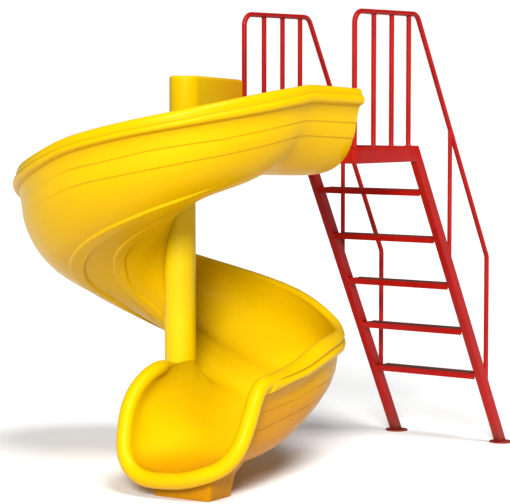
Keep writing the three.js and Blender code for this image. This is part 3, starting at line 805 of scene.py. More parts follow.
def full_ring(s):
    """Closed outline of one station, with its values for painted shade and polish."""
    outer, top = section(s)
    skin = dense_weights @ outer
    facing = normals_of(skin)
    places, laps = places_across(skin, s)
    here, normal = (np.stack([np.interp(places, dense, values[:, i]) for i in (0, 1)], 1)
                    for values in (skin, facing))
    rib, push, lap_shade = np.zeros(len(places)), np.zeros(len(places)), np.zeros(len(places))
    for radius, half in zip(s["ribs"], RIB_HALF):
        inside = half - np.abs(here[:, 0] - radius)
        rib = np.maximum(rib, smoothstep(inside, -RIB_SHOULDER / 2, RIB_SHOULDER / 2))
    rib *= s["rib_strength"] * smoothstep(normal[:, 1], *RIB_FACING)
    for lap in laps:
        below = lap - places
        push += np.where(below > 0, smoothstep(below, 0, LAP_EDGE) * np.exp(-below / LAP_FADE), 0)
        lap_shade += smoothstep(below, *LAP_SHADE_STARTS) * (1 - smoothstep(below, *LAP_SHADE_ENDS))
    outside = here + normal * (LAP_STEP * s["lap_strength"] * push - RIB_HEIGHT * rib)[:, None]
    crown = top_weights @ np.vstack([outer[-1:], top])
    inner = inner_weights @ inner_rows(s, skin, facing, crown[-1:])
    ring = np.vstack([outside, crown, inner[-2::-1]])
    return (ring, *traces(s, places, lap_shade, inner))


print("points round a section:", len(full_ring(station(100))[0]))

# %% [markdown]
# The line of the rolled lip
#
# The front edge of the exit is rolled into a fat tube, so that no one meets a sharp edge. Its
# line goes down the inner wall, across the bed and up the outer wall, and at both ends the
# roll shrinks into the edge it grew from. The trough needs to know this line before it is made,
# because in the mould both are one skin that flows from one into the other.

# %% Line of the lip
EXIT_TURN = math.radians(HELIX_ANGLE)
EXIT_ACROSS = np.array([math.cos(EXIT_TURN), -math.sin(EXIT_TURN), 0.0])
EXIT_ALONG = np.array([-math.sin(EXIT_TURN), -math.cos(EXIT_TURN), 0.0])
EXIT_LIP_RADIUS, LIP_STEPS = 38.0, 200
# Middle line of the roll: across, height, run.
LIP_LINE = np.array([
    [92, 541, 70], [99, 549, 135], [108, 557, 205], [115, 561, 285], [121, 554, 362], [113, 519, 447],
    [104, 452, 526], [109, 372, 583], [118, 274, 619], [136, 191, 640], [180, 127, 650], [256, 91, 653],
    [361, 88, 653], [464, 98, 652], [567, 126, 648], [674, 178, 624], [732, 251, 599], [752, 342, 557],
    [755, 424, 515], [751, 502, 458], [748, 532, 402], [748, 533, 350], [750, 529, 290], [751, 532, 220],
    [752, 540, 150]], float)
LIP_GROWS, LIP_SHRINKS, LIP_THINNEST = (0.045, 0.145), (0, 0.113), 0.3
# Front edge of the trough, as pairs of height and run.
EDGE_AT_COLUMN = [(60, 655), (150, 648), (251, 627), (342, 597), (422, 556), (452, 526), (519, 447),
                  (554, 362), (567, 300), (590, 280)]
EDGE_OUTSIDE = [(60, 655), (126, 648), (178, 624), (251, 599), (342, 557), (424, 515), (502, 458),
                (529, 412), (545, 404), (600, 402)]


def in_exit(across, run, height):
    """Points in space from the exit's own directions."""
    across, run, height = (np.asarray(v, float) for v in (across, run, height))
    return (across[..., None] * EXIT_ACROSS + run[..., None] * EXIT_ALONG
            + height[..., None] * np.array([0.0, 0.0, 1.0]))


lip_points = in_exit(LIP_LINE[:, 0], LIP_LINE[:, 2], LIP_LINE[:, 1])
lip_knots = chord_knots(lip_points)
lip_path = spline_weights(lip_knots, np.linspace(0, lip_knots[-1], LIP_STEPS)) @ lip_points
lip_share = np.linspace(0, 1, LIP_STEPS)
lip_swell = np.minimum(smoothstep(lip_share, *LIP_GROWS), smoothstep(1 - lip_share, *LIP_SHRINKS))
lip_radii = EXIT_LIP_RADIUS * (LIP_THINNEST + (1 - LIP_THINNEST) * lip_swell)
print("length of the roll: %.2f m" % (lip_knots[-1] * MM))


# %% [markdown]
# A soft join
#
# Where two rounded shapes meet, a mould has no sharp corner. A smooth union does this: close
# to the meeting line each point of the one surface moves out along its normal, until a blend of
# the two distances is zero. Halving the step finds that place for all the points at once.

# %% Soft join of trough and roll
ROLL_HIDDEN, SPARE_LEAST = 0.7, 1.0
JOIN_REACH, HALVINGS = 90.0, 12


def outward_of(flat):
    """Directions out of the shell around a closed outline."""
    along = np.roll(flat, -1, 0) - np.roll(flat, 1, 0)
    along /= np.linalg.norm(along, axis=1)[:, None]
    return np.stack([along[:, 1], -along[:, 0]], 1)


def roll_gaps(points):
    """Distance of each point from the roll's skin, at each step of its line."""
    return np.linalg.norm(points[:, None] - lip_path[None], axis=2) - lip_radii


def shrink_for(edge_points, outward, blend):
    """How much thinner the roll is taken, so that the last ring of the union lies just inside it."""
    nearest = roll_gaps(edge_points).argmin(axis=1)
    offset = np.clip(np.sum((edge_points - lip_path[nearest]) * outward, axis=1), 0, None)
    spare = np.clip(lip_radii[nearest] - ROLL_HIDDEN - offset, SPARE_LEAST, None)
    depth = np.where(blend > spare, 2 * np.sqrt(blend * spare) - blend, spare)
    return lip_radii[nearest] - offset - depth


def joined(points, outward, blend, shrink):
    """Points moved out onto a smooth union with the roll."""
    moved = points.copy()
    near = np.flatnonzero(roll_gaps(points).min(axis=1) < blend)
    if len(near) == 0:
        return moved
    start, direction, k = points[near], outward[near], blend[near]
    low, high = np.zeros(len(near)), np.full(len(near), JOIN_REACH)
    for _ in range(HALVINGS):
        middle = (low + high) / 2
        gap = roll_gaps(start + direction * middle[:, None]).min(axis=1) + shrink[near]
        blended_gap = np.minimum(middle, gap) - np.clip(k - np.abs(middle - gap), 0, None) ** 2 / (4 * k)
        low, high = np.where(blended_gap < 0, middle, low), np.where(blended_gap < 0, high, middle)
    moved[near] = start + direction * low[:, None]
    return moved


print("gap on the roll's own middle line: %.0f mm" % roll_gaps(lip_path[[LIP_STEPS // 2]]).min())

# %% [markdown]
# Sweeping the section
#
# The entry is straight and the flights turn around the column. Each station gives one closed
# ring, and the rings are kept in order from the platform down, each with its values. Close to
# the column they are marked too, for a later step that calms a fold there.

# %% Sweep of the entry and the flights
ENTRY_STEPS, ENTRY_LAST, SPIRAL_STEPS = 26, 6, 238
NEAR_COLUMN, CALM_STARTS, CALM_ENDS = (240, 480), (295, 325), (0.45, 0.8)

rings, crease_shades, rubs, calms = [], [], [], []


def keep(points, crease, rub, calm):
    for column, value in zip((rings, crease_shades, rubs, calms), (points, crease, rub, calm)):
        column.append(value)


def beside_column(ring):
    """1 for the points of the inside that are close to the column, 0 far from it."""
    return (np.arange(len(ring)) >= INSIDE_START) * (1 - smoothstep(ring[:, 0], *NEAR_COLUMN))


for y in np.linspace(ENTRY_LENGTH, ENTRY_LAST, ENTRY_STEPS):
    ring, crease, rub = full_ring(station(0, 0, y))
    keep(np.stack([ring[:, 0], np.full(len(ring), y), ring[:, 1]], 1), crease, rub, np.zeros(len(ring)))
for turn in np.linspace(0, HELIX_ANGLE, SPIRAL_STEPS):
    ring, crease, rub = full_ring(station(turn))
    angle = math.radians(turn)
    helix = np.stack([ring[:, 0] * math.cos(angle), -ring[:, 0] * math.sin(angle), ring[:, 1]], 1)
    keep(helix, crease, rub, beside_column(ring) * smoothstep(turn, *CALM_STARTS))
print("rings down to the end of the spiral:", len(rings))

# %% [markdown]
# The exit
#
# The exit runs straight again to a sloping front edge. Each point of the section runs on by its
# own distance, so the last ring lies exactly on that edge and nothing has to be cut off. Towards
# the edge the bowl fades into the plain section.

# %% Sweep of the exit
RUN_STEP, RUN_END, BELL_LENGTH, EXIT_STEPS = 6.0, 721, 380.0, 63
MIDDLE_OF_BED = 400

exit_runs = np.arange(0, RUN_END, RUN_STEP)
exit_table = [full_ring(station(HELIX_ANGLE, run)) for run in exit_runs]
plain_rings = np.array([full_ring({**station(HELIX_ANGLE, run), "bowl": 0.0})[0] for run in exit_runs])
edge_of_ring = np.array([[table_value(EDGE_AT_COLUMN if a < MIDDLE_OF_BED else EDGE_OUTSIDE, z)
                          for a, z in ring] for ring in plain_rings])
flare = smoothstep(edge_of_ring - exit_runs[:, None], 0, BELL_LENGTH)
exit_rings = mix(plain_rings, np.array([row[0] for row in exit_table]), flare[:, :, None])
end_runs = exit_runs[np.argmax(exit_runs[:, None] >= edge_of_ring, axis=0)]
index = np.arange(len(end_runs))
outwards = []
for share in np.linspace(0, 1, EXIT_STEPS + 1)[1:]:
    runs = end_runs * share
    low = np.clip((runs / RUN_STEP).astype(int), 0, len(exit_runs) - 2)
    part = (runs / RUN_STEP - low)[:, None]
    flat = exit_rings[low, index] * (1 - part) + exit_rings[low + 1, index] * part
    outward = outward_of(flat)
    outwards.append(in_exit(outward[:, 0], np.zeros(len(flat)), outward[:, 1]))
    crease, rub = (np.array([row[i] for row in exit_table])[low, index] for i in (1, 2))
    keep(in_exit(flat[:, 0], runs, flat[:, 1]), crease, rub,
         beside_column(flat) * (1 - smoothstep(share, *CALM_ENDS)))
edge_outline = flat
print("rings in all:", len(rings))

# %% [markdown]
# Calming the inside of the exit
#
# Close to the column the spiral is steep, and the exit is nearly level. Where one becomes the
# other a fold would show. Each round moves the points near the column a little towards the
# middle of their neighbours along the slide, until the fold has spread out.

# %% Calmed rings
CALM_ROUNDS, CALM_STRENGTH = 200, 0.5

rings = np.array(rings)
calm = CALM_STRENGTH * np.array(calms)[:, :, None]
for _ in range(CALM_ROUNDS):
    rings[1:-1] += calm[1:-1] * ((rings[:-2] + rings[2:]) / 2 - rings[1:-1])
print("calmed points:", int((calm > 0).sum()))

# %% [markdown]
# Trough and roll become one skin
#
# The front edge is joined to the roll. A wide blend bulges over the roll, so the roll is taken
# thinner there. A last ring on the middle line of the roll closes the shell out of sight.

# %% Joined rings
JOIN_INSIDE, JOIN_SIDE, JOIN_OUTSIDE, SIDE_ENDS = 50.0, 120.0, 24.0, (150, 300)

inner_blend = mix(JOIN_SIDE, JOIN_INSIDE, smoothstep(edge_outline[:, 0], *SIDE_ENDS))
blend = np.where(index < INSIDE_START, JOIN_OUTSIDE, inner_blend)
shrink = shrink_for(rings[-1], outwards[-1], blend)
for k in range(EXIT_STEPS):
    rings[k - EXIT_STEPS] = joined(rings[k - EXIT_STEPS], outwards[k], blend, shrink)
rings = np.concatenate([rings, lip_path[roll_gaps(rings[-1]).argmin(axis=1)][None]])
print("rings with the closing one:", len(rings))

# %% [markdown]
# The moulding as a mesh
#
# The outside of the lowest flight darkens towards the ground, which is painted shade, and the
# bed darkens just inside the front edge, which is painted shade with some dust. Both follow from
# the height and the run of a point.

# %% Trough moulding
LOW_SHADE_HEIGHTS, BED_SHADE_RUNS, BED_SHADE_HEIGHTS, BED_SHADE_AND_DUST = (330, 780), (100, 400), (115, 250), 0.9

order = np.arange(rings.shape[1])
in_exit_ring = np.arange(len(rings)) > len(rings) - EXIT_STEPS
heights = rings[:, :, 2]
# Painted shade low on the outside, and painted shade with some dust on the bed near the front edge.
shade_and_dust_values = (1 - smoothstep(heights, *LOW_SHADE_HEIGHTS)) * (order < OUTSIDE_COUNT)
shade_and_dust_values += (BED_SHADE_AND_DUST * (in_exit_ring[:, None] * (order > INSIDE_START))
          * smoothstep(rings @ EXIT_ALONG, *BED_SHADE_RUNS) * (1 - smoothstep(heights, *BED_SHADE_HEIGHTS)))
trough = Shape()
trough.loft(rings * MM, end_cap=False, crease=np.array(crease_shades + crease_shades[-1:]).ravel(),
            rub=np.array(rubs + rubs[-1:]).ravel(), soil=shade_and_dust_values.ravel())
trough.piece("trough_moulding", gelcoat, GELCOAT_SLOT,
             ["entry_trough", "exit_trough"] + ["flight_%d" % k for k in range(1, 6)], sharp=60.0)

# %% [markdown]
# The rolled lip of the exit
#
# The roll itself is a round section swept along the line in space. The directions across the
# line are carried from point to point, so that the tube doesn't twist.

# %% Rolled lip
def swept_frames(path):
    """Directions across a path that turn as little as possible along it."""
    tangents = np.gradient(path, axis=0)
    tangents /= np.linalg.norm(tangents, axis=1)[:, None]
    side = np.cross(tangents[0], [0.0, 0.0, 1.0] if abs(tangents[0][2]) < 0.9 else [1.0, 0.0, 0.0])
    sides = []
    for tangent in tangents:
        side = side - tangent * np.dot(side, tangent)
        side = side / np.linalg.norm(side)
        sides.append(side)
    sides = np.array(sides)
    return sides, np.cross(tangents, sides)


def tube_rings(path, radii, sides):
    """Round rings across a path."""
    across, up = swept_frames(path)
    angles = np.linspace(0, 2 * math.pi, sides, endpoint=False)
    radii = np.broadcast_to(radii, len(path))
    return (path[:, None] + radii[:, None, None] * (np.cos(angles)[None, :, None] * across[:, None]
                                                     + np.sin(angles)[None, :, None] * up[:, None]))


LIP_SIDES, LIP_RUB = 40, 0.2

lip = Shape()
lip.loft(tube_rings(lip_path, lip_radii, LIP_SIDES) * MM, rub=LIP_RUB, crease=0.0)
lip.piece("exit_lip_roll", gelcoat, GELCOAT_SLOT)

# %% [markdown]
# The block under the exit
#
# The trough ends on a moulded block that stands on the ground. It tapers upwards and its top
# follows the belly of the trough. A rounded rectangle is swept up to that belly, and the top is
# closed by the same outline drawn smaller and smaller, each point at the belly's height.

# %% Rounded rectangle
def rounded_outline(a0, a1, b0, b1, radius, arc=7, straight=6):
    """Rounded rectangle, with 1 at the corners and 0 on the sides."""
    points, edge = [], []
    corners = [(a1 - radius, b1 - radius, 0), (a0 + radius, b1 - radius, 90),
               (a0 + radius, b0 + radius, 180), (a1 - radius, b0 + radius, 270)]
    for k, (a, b, start) in enumerate(corners):
        for angle in np.radians(np.linspace(start, start + 90, arc)):
            points.append((a + radius * math.cos(angle), b + radius * math.sin(angle)))
            edge.append(1.0)
        here = np.array(points[-1])
        a, b, start = corners[(k + 1) % 4]
        angle = math.radians(start)
        there = np.array([a + radius * math.cos(angle), b + radius * math.sin(angle)])
        for share in np.linspace(0, 1, straight + 2)[1:-1]:
            points.append(tuple(here + (there - here) * share))
            edge.append(0.0)
    return np.array(points), np.array(edge)


print("points of a rounded rectangle:", len(rounded_outline(0, 100, 0, 100, 10)[0]))

# %% Exit pedestal
# Levels of the block: height, left, right, front and back edge in the exit.
PEDESTAL_LEVELS = np.array([(0, 258, 568, 400, 590), (100, 240, 588, 385, 592), (175, 226, 603, 374, 593)])
PEDESTAL_CORNER, PEDESTAL_STEPS, PEDESTAL_FLARE = 20.0, 20, 42.0
PEDESTAL_FOOT, PEDESTAL_RISE, INTO_BELLY = 5, 130, 2
FOOT_ROUNDING = [(5, 0), (1.5, 1.5), (0, PEDESTAL_FOOT)]


def belly_height(across, run):
    """Height of the trough's underside over a place in the exit."""
    row = exit_rings[int(round(run / RUN_STEP)), :OUTSIDE_COUNT]
    part = row[(row[:, 0] > 180) & (row[:, 0] < 715)]
    return float(np.interp(across, part[:, 0], part[:, 1]))


def pedestal_outline(height, shrink=1.0, inset=0.0, flare=0.0):
    """Outline of the block at a height, and how high the belly is over each of its points."""
    levels = PEDESTAL_LEVELS.T
    a0, a1, b0, b1 = (float(np.interp(height, levels[0], edge)) for edge in levels[1:])
    outline, _ = rounded_outline(a0 + inset, a1 - inset + flare, b0 + inset, b1 - inset, PEDESTAL_CORNER)
    centre = np.array([(a0 + a1) / 2, (b0 + b1) / 2])
    outline = centre + (outline - centre) * shrink
    return outline, np.array([belly_height(a, b) + INTO_BELLY for a, b in outline])


pedestal_rings = []
for inset, height in FOOT_ROUNDING:
    outline, _ = pedestal_outline(height, inset=inset)
    pedestal_rings.append(in_exit(outline[:, 0], outline[:, 1], np.full(len(outline), height)))
for share in np.linspace(0, 1, PEDESTAL_STEPS)[1:]:
    flare = PEDESTAL_FLARE * smoothstep(share, 0.55, 1.0) ** 2
    outline, tops = pedestal_outline(PEDESTAL_FOOT + PEDESTAL_RISE * share, flare=flare)
    heights = PEDESTAL_FOOT + (tops - PEDESTAL_FOOT) * share
    pedestal_rings.append(in_exit(outline[:, 0], outline[:, 1], heights))
for shrink in (0.8, 0.6, 0.4, 0.2, 0.05):
    outline, tops = pedestal_outline(PEDESTAL_FOOT + PEDESTAL_RISE, shrink, flare=PEDESTAL_FLARE)
    pedestal_rings.append(in_exit(outline[:, 0], outline[:, 1], tops))
pedestal = Shape()
# The whole block takes the darker orange: painted shade.
pedestal.loft(np.array(pedestal_rings) * MM, crease=0.0, soil=1.0)
pedestal.piece("exit_pedestal_block", gelcoat, GELCOAT_SLOT, ["exit_pedestal"])

# %% [markdown]
# The inner wall of the entry
#
# Where a child sits down, a moulded wall closes the side over the column. It has a round nose
# a little wider than the column and runs straight to the left guard post. Its top slopes a
# little and its edges are rounded. It is a stack of outlines, and the last few draw in to make
# the rounding.

# %% Entry wall
NOSE_X, NOSE_RADIUS, NOSE_RIGHT, NOSE_LEFT, NOSE_POINTS = 40.0, 80.5, 3.2, -196.1, 72
WALL_LEFT, WALL_RIGHT, WALL_END = 70.0, 100.0, 376.3
WALL_BOTTOM, WALL_NOSE_TOP, WALL_FALL, WALL_FALL_END = 1500.0, 1944.0, 18.0, 391.0
WALL_ROUND, WALL_SLIMMEST, WALL_END_ROUND, SIDE_POINTS = 16.0, 13.0, 14.0, 22
WALL_SHADE, WALL_SHADE_ENDS = 0.9, (-20, 380)


def straight_points(start, end):
    """Points between two corners, without the corners themselves."""
    return [tuple(mix(np.array(start), np.array(end), t)) for t in np.linspace(0, 1, SIDE_POINTS)[1:-1]]


def entry_wall_outline(inset):
    """Round nose and two straight sides that run on from it, drawn in by an inset."""
    radius = NOSE_RADIUS - inset
    nose = [(NOSE_X + radius * math.cos(angle), radius * math.sin(angle))
            for angle in np.radians(np.linspace(NOSE_RIGHT, NOSE_LEFT, NOSE_POINTS))]
    left, right = WALL_LEFT + min(inset, WALL_SLIMMEST), WALL_RIGHT - min(inset, WALL_SLIMMEST)
    half, end = (right - left) / 2, WALL_END - WALL_END_ROUND - inset
    cap = [((left + right) / 2 + half * math.cos(angle), end + min(half, WALL_END_ROUND) * math.sin(angle))
           for angle in np.radians(np.linspace(180, 0, 13))]
    return np.array(nose + straight_points(nose[-1], cap[0]) + cap + straight_points(cap[-1], nose[0]))


def wall_top(y):
    return WALL_NOSE_TOP - WALL_FALL * np.clip(y, 0, None) / WALL_FALL_END


wall_rings = []
base = entry_wall_outline(0.0)
for height in (0.0, 0.35, 0.7, 1.0):
    z = WALL_BOTTOM + SEAT + (wall_top(base[:, 1]) - WALL_ROUND - WALL_BOTTOM) * height
    wall_rings.append(np.column_stack([base, z]))
for angle in np.radians(np.linspace(15, 90, 7)):
    outline = entry_wall_outline(WALL_ROUND * (1 - math.cos(angle)))
    z = wall_top(outline[:, 1]) - WALL_ROUND * (1 - math.sin(angle))
    wall_rings.append(np.column_stack([outline, z]))
wall_rings = np.array(wall_rings)
# The flat side darkens towards its end: painted shade.
wall_shade = WALL_SHADE * smoothstep(wall_rings[:, :, 1], *WALL_SHADE_ENDS)
entry_wall = Shape()
entry_wall.loft(wall_rings * MM, rub=0.0, crease=0.0, soil=wall_shade.ravel())
entry_wall.piece("entry_wall_moulding", gelcoat, GELCOAT_SLOT, ["entry_inner_wall"])

# %% [markdown]
# The column
#
# The column is a steel tube of 154 mm with a welded foot plate and a cap. A weld is never a sharp
# corner, so the tube flares out by a few millimetres at the plate. Anything round is easiest as
# a turned body: a profile of radii and heights that goes once around an axis.

# %% Column tube
COLUMN_SIDES, FOOT_PLATE_TOP = 64, 12.0
# Pairs of radius and height: the weld at the foot, and the rounded cap.
COLUMN_WELD = [(84, FOOT_PLATE_TOP), (81, 14), (78.6, 17), (COLUMN_RADIUS, 22)]
COLUMN_CAP = [(COLUMN_RADIUS, 1494), (76.3, 1497.5), (74.5, 1499.2), (60, 1499.6), (20, 1499.6)]


def turned(profile, sides=COLUMN_SIDES, centre=(0.0, 0.0)):
    """Rings of a body turned on an upright axis, from pairs of radius and height."""
    angles = np.linspace(0, 2 * math.pi, sides, endpoint=False)
    radii, heights = np.array(profile, float).T
    x = centre[0] + radii[:, None] * np.cos(angles)
    y = centre[1] + radii[:, None] * np.sin(angles)
    return np.stack([x, y, np.broadcast_to(heights[:, None], x.shape)], 2)


column = Shape()
tube = COLUMN_WELD + [(COLUMN_RADIUS, z) for z in np.linspace(120, 1480, 24)] + COLUMN_CAP
tube_edge = [1.0 if z < 24 or z > 1490 else 0.0 for _, z in tube]
column.loft(turned(tube) * MM, edge=np.repeat(tube_edge, COLUMN_SIDES))
column.piece("column_tube", column_paint, PAINT_SLOT, ["column"])

# %% [markdown]
# The foot of the column
#
# A foot plate spreads the load over the ground. Four gussets stiffen it, and four bolts with
# washers hold it down between them. A bolt head is a turned body with only six sides.

# %% Column foot
FOOT_PLATE = [(146, 0), (149, 1.2), (149.8, 3), (149.8, 9.5), (148.6, 11.6), (146, FOOT_PLATE_TOP),
              (60, FOOT_PLATE_TOP)]
FOOT_PLATE_EDGE, GUSSET_EDGE = (0, 1, 1, 1, 1, 0, 0), 0.4
GUSSET = [(74, 11), (136, 11), (136, 24), (82, 88), (74, 88)]
GUSSET_HALF, GUSSET_TURN = 4.0, 12
BOLT_CIRCLE, BOLT_TURN, BOLT_ACROSS, BOLT_HEAD, WASHER = 118.0, 45, 10.0, 9.0, 17.0


def hexagon_bolt(x, y, z, across, height, washer):
    """Washer and hexagon head as two lists of rings."""
    disc = turned([(washer, z), (washer, z + 1.8), (washer - 0.6, z + 2.2), (2, z + 2.2)], 24, (x, y))
    head = turned([(across, z + 2.2), (across, z + 1.6 + height), (across * 0.84, z + 2.2 + height),
                   (2, z + 2.2 + height)], 6, (x, y))
    return disc, head


column_foot, anchor_bolts = Shape(), Shape()
column_foot.loft(turned(FOOT_PLATE) * MM, edge=np.repeat(FOOT_PLATE_EDGE, COLUMN_SIDES))
for k in range(4):
    angle = math.radians(BOLT_TURN + 90 * k)
    x, y = BOLT_CIRCLE * math.cos(angle), BOLT_CIRCLE * math.sin(angle)
    for part in hexagon_bolt(x, y, FOOT_PLATE_TOP, BOLT_ACROSS, BOLT_HEAD, WASHER):
        anchor_bolts.loft(part * MM)
    angle = math.radians(90 * k + GUSSET_TURN)
    along = np.array([math.cos(angle), math.sin(angle), 0.0])
    aside = np.array([-along[1], along[0], 0.0])
    gusset = [[along * r + aside * half + np.array([0, 0, z]) for r, z in GUSSET]
              for half in (-GUSSET_HALF, GUSSET_HALF)]
    column_foot.loft(np.array(gusset) * MM, edge=GUSSET_EDGE)
column_foot.piece("column_foot_welded", column_paint, PAINT_SLOT, ["column_foot_plate"])
anchor_bolts.piece("column_anchor_bolts", zinc, "")

# %% [markdown]
# The steelwork
#
# Stringers, beams and channels are rolled hollow sections with rounded corners. They lean and
# meet by a few measures only, so those come first, with the lines of the ladder as functions.

# %% Steel measures
PLATFORM, CHANNEL_DEPTH, GUARD_TOP = 1600.0, 79.0, 2252.0
RAIL_LEFT, RAIL_RIGHT, FRONT_Y = 92.0, 764.0, 391.0
TUBE, HALF_CHANNEL, BEAM_WIDTH = 12.7, 21.0, 30.0
LEAN, STRINGER_TOP_Y, STRINGER_DEPTH = 0.5395, 858.0, 60.0
HANDRAIL_TOP_Y, HANDRAIL_DROP_Y, MID_POST_Y = 924.0, 1596.0, 1235.0
FOOT_THICKNESS, FOOT_RADIUS = 8.0, 61.8
INNER_LEFT, INNER_RIGHT = RAIL_LEFT + HALF_CHANNEL + SEAT, RAIL_RIGHT - HALF_CHANNEL - SEAT
INNER_WIDTH = INNER_RIGHT - INNER_LEFT
SIDES = (("left", RAIL_LEFT), ("right", RAIL_RIGHT))


def stringer_back(z):
    return STRINGER_TOP_Y + LEAN * (PLATFORM - z)


def stringer_front_height(y):
    return PLATFORM - (y - STRINGER_TOP_Y - STRINGER_DEPTH) / LEAN


def handrail_height(y):
    return GUARD_TOP - (y - HANDRAIL_TOP_Y) / LEAN


print("clear width of the ladder: %.0f mm" % INNER_WIDTH)

# %% [markdown]
# Bars
#
# Stringers, channels, beams, the floor plate and the grip strips all come from one function. It
# sweeps the rounded rectangle and draws it in at both ends, so the ends are rounded too and
# catch a line of light. Where the outline lies in space is given by a small function of each
# part's own.

# %% Bars with rounded ends
# Rounding at the ends of a bar: how far the outline draws in, and how far from the end.
END_ROUNDING, END_LENGTH, THINNEST_CORNER = [(1.4, 0.0), (0.4, 0.5)], 1.4, 0.6


def bar(shape, place, length_steps, width, depth, radius):
    """Sweep a rounded rectangle. place turns (u, v, share, back) into a point in millimetres."""
    steps = [(inset, 0.0, back) for inset, back in END_ROUNDING]
    steps += [(0.0, share, END_LENGTH) for share in np.linspace(0, 1, length_steps)]
    steps += [(inset, 1.0, back) for inset, back in reversed(END_ROUNDING)]
    made, values = [], []
    for inset, share, back in steps:
        corner = max(radius - inset, THINNEST_CORNER)
        drawn, edge = rounded_outline(inset, width - inset, inset, depth - inset, corner, 5, 3)
        made.append([place(u, v, share, back if share < 0.5 else -back) for u, v in drawn])
        values.append(np.maximum(edge, 1.0 if inset > 0 else 0.0))
    shape.loft(np.array(made) * MM, edge=np.ravel(values))


def steel_piece(shape, name, node):
    shape.piece(name, red_enamel, STEEL_SLOT, [node])


for side, x in SIDES:
    stringer = Shape()
    low = FOOT_THICKNESS + SEAT

    def on_stringer(u, v, share, back, x=x):
        z = low + (PLATFORM - low) * share + back
        return (x - HALF_CHANNEL + u, stringer_back(z) + v, z)

    bar(stringer, on_stringer, 20, 2 * HALF_CHANNEL, STRINGER_DEPTH, 4.5)
    steel_piece(stringer, "stringer_bar_" + side, "stringer_" + side)

# %% [markdown]
# Foot discs
#
# Each stringer ends on a round disc. It is pressed steel, with a rolled rim and a weld around the
# foot of the stringer.

# %% Foot discs
# Radius, height and wear of the disc's profile, from the ground up and inwards.
DISC_PROFILE = np.array([
    (57, 0, 0), (60.6, 1.0, 0.6), (FOOT_RADIUS, 3.2, 1), (61.2, 6.2, 1), (59.0, 7.8, 1), (55.5, 7.9, 0.5),
    (51, 7.0, 0), (44, 6.6, 0), (38, 7.2, 0), (30, 7.9, 0), (8, 8.0, 0)])
DISC_SIDES = 72

for side, x in SIDES:
    centre = (x, stringer_back(0) + STRINGER_DEPTH / 2)
    disc = Shape()
    disc.loft(turned(DISC_PROFILE[:, :2], DISC_SIDES, centre) * MM,
              edge=np.repeat(DISC_PROFILE[:, 2], DISC_SIDES))
    steel_piece(disc, "foot_disc_" + side, "foot_plate_" + side)

# %% [markdown]
# Platform
#
# Two side channels and two cross beams make the frame. The floor between them is durbar plate:
# steel rolled with raised lozenges, so that wet shoes don't slip. The lozenges are real geometry
# here, because they catch the light at a low angle better than a bump does.

# %% Platform frame
CHANNEL_FRONT = FRONT_Y - TUBE
CHANNEL_BOTTOM = PLATFORM - CHANNEL_DEPTH
BEAM_REAR_Y = STRINGER_TOP_Y - SEAT

for side, x in SIDES:
    channel = Shape()

    def on_channel(u, v, share, back, x=x):
        z = CHANNEL_BOTTOM + v
        end = BEAM_REAR_Y + LEAN * (PLATFORM - z)
        return (x - HALF_CHANNEL + u, CHANNEL_FRONT + (end - CHANNEL_FRONT) * share + back, z)

    bar(channel, on_channel, 12, 2 * HALF_CHANNEL, CHANNEL_DEPTH, 3.5)
    steel_piece(channel, "platform_channel_bar_" + side, "platform_channel_" + side)

for name, y in (("front", CHANNEL_FRONT), ("rear", BEAM_REAR_Y - BEAM_WIDTH)):
    beam = Shape()

    def on_beam(u, v, share, back, y=y):
        return (INNER_LEFT + INNER_WIDTH * share + back, y + u, CHANNEL_BOTTOM + v)

    bar(beam, on_beam, 12, BEAM_WIDTH, CHANNEL_DEPTH, 3.0)
    steel_piece(beam, "platform_beam_bar_" + name, "platform_%s_beam" % name)

# %% Platform floor
FLOOR_FRONT, FLOOR_REAR = CHANNEL_FRONT + BEAM_WIDTH + SEAT, BEAM_REAR_Y - BEAM_WIDTH - SEAT
FLOOR_BELOW, FLOOR_THICK = 30, 4.0
FLOOR_TOP = PLATFORM - FLOOR_BELOW + FLOOR_THICK
LOZENGE_LENGTH, LOZENGE_WIDTH, LOZENGE_HEIGHT = 11.0, 3.4, 1.8
LOZENGE_PITCH, LOZENGE_START, LOZENGE_END, LOZENGE_TURN = 17.0, 16, 12, 45
# Outlines of one lozenge: scale and height.
LOZENGE_TIERS = [(1.0, -0.3), (0.8, LOZENGE_HEIGHT * 0.8), (0.3, LOZENGE_HEIGHT)]


def on_floor(u, v, share, back):
    return (INNER_LEFT + INNER_WIDTH * share + back, FLOOR_FRONT + u, PLATFORM - FLOOR_BELOW + v)


def lozenge_places(start, end):
    return enumerate(np.arange(start + LOZENGE_START, end - LOZENGE_END, LOZENGE_PITCH))


floor_plate = Shape()
bar(floor_plate, on_floor, 8, FLOOR_REAR - FLOOR_FRONT, FLOOR_THICK, 1.2)
lozenge_count = 0
for row, y in lozenge_places(FLOOR_FRONT, FLOOR_REAR):
    for column_index, x in lozenge_places(INNER_LEFT, INNER_RIGHT):
        turn = math.radians(LOZENGE_TURN if (row + column_index) % 2 else -LOZENGE_TURN)
        along = np.array([math.cos(turn), math.sin(turn)])
        aside = np.array([-along[1], along[0]])
        tiers = []
        for scale, z in LOZENGE_TIERS:
            tip, flank = along * LOZENGE_LENGTH * scale, aside * LOZENGE_WIDTH * scale
            tiers.append([(x + c[0], y + c[1], FLOOR_TOP + z) for c in (tip, flank, -tip, -flank)])
        floor_plate.loft(np.array(tiers) * MM, edge=0.55)
        lozenge_count += 1
steel_piece(floor_plate, "platform_floor_durbar", "platform_floor")
print("lozenges:", lozenge_count)

# %% [markdown]
# Treads
#
# A tread is a folded pan of sheet steel. Its front and back edges turn down, so from behind it
# reads as a bright red strip. The grit strip lies in a shallow tray on top. The pan is a swept
# section with a hollow underside.

# %% Section of a tread
TREADS, TREAD_PITCH, FIRST_DROP = 5, 246.0, 256.0
TREAD_THICK, TREAD_DEPTH, SHEET, FOLD_ROUND = 30.0, 112.0, 3.0, 4.0


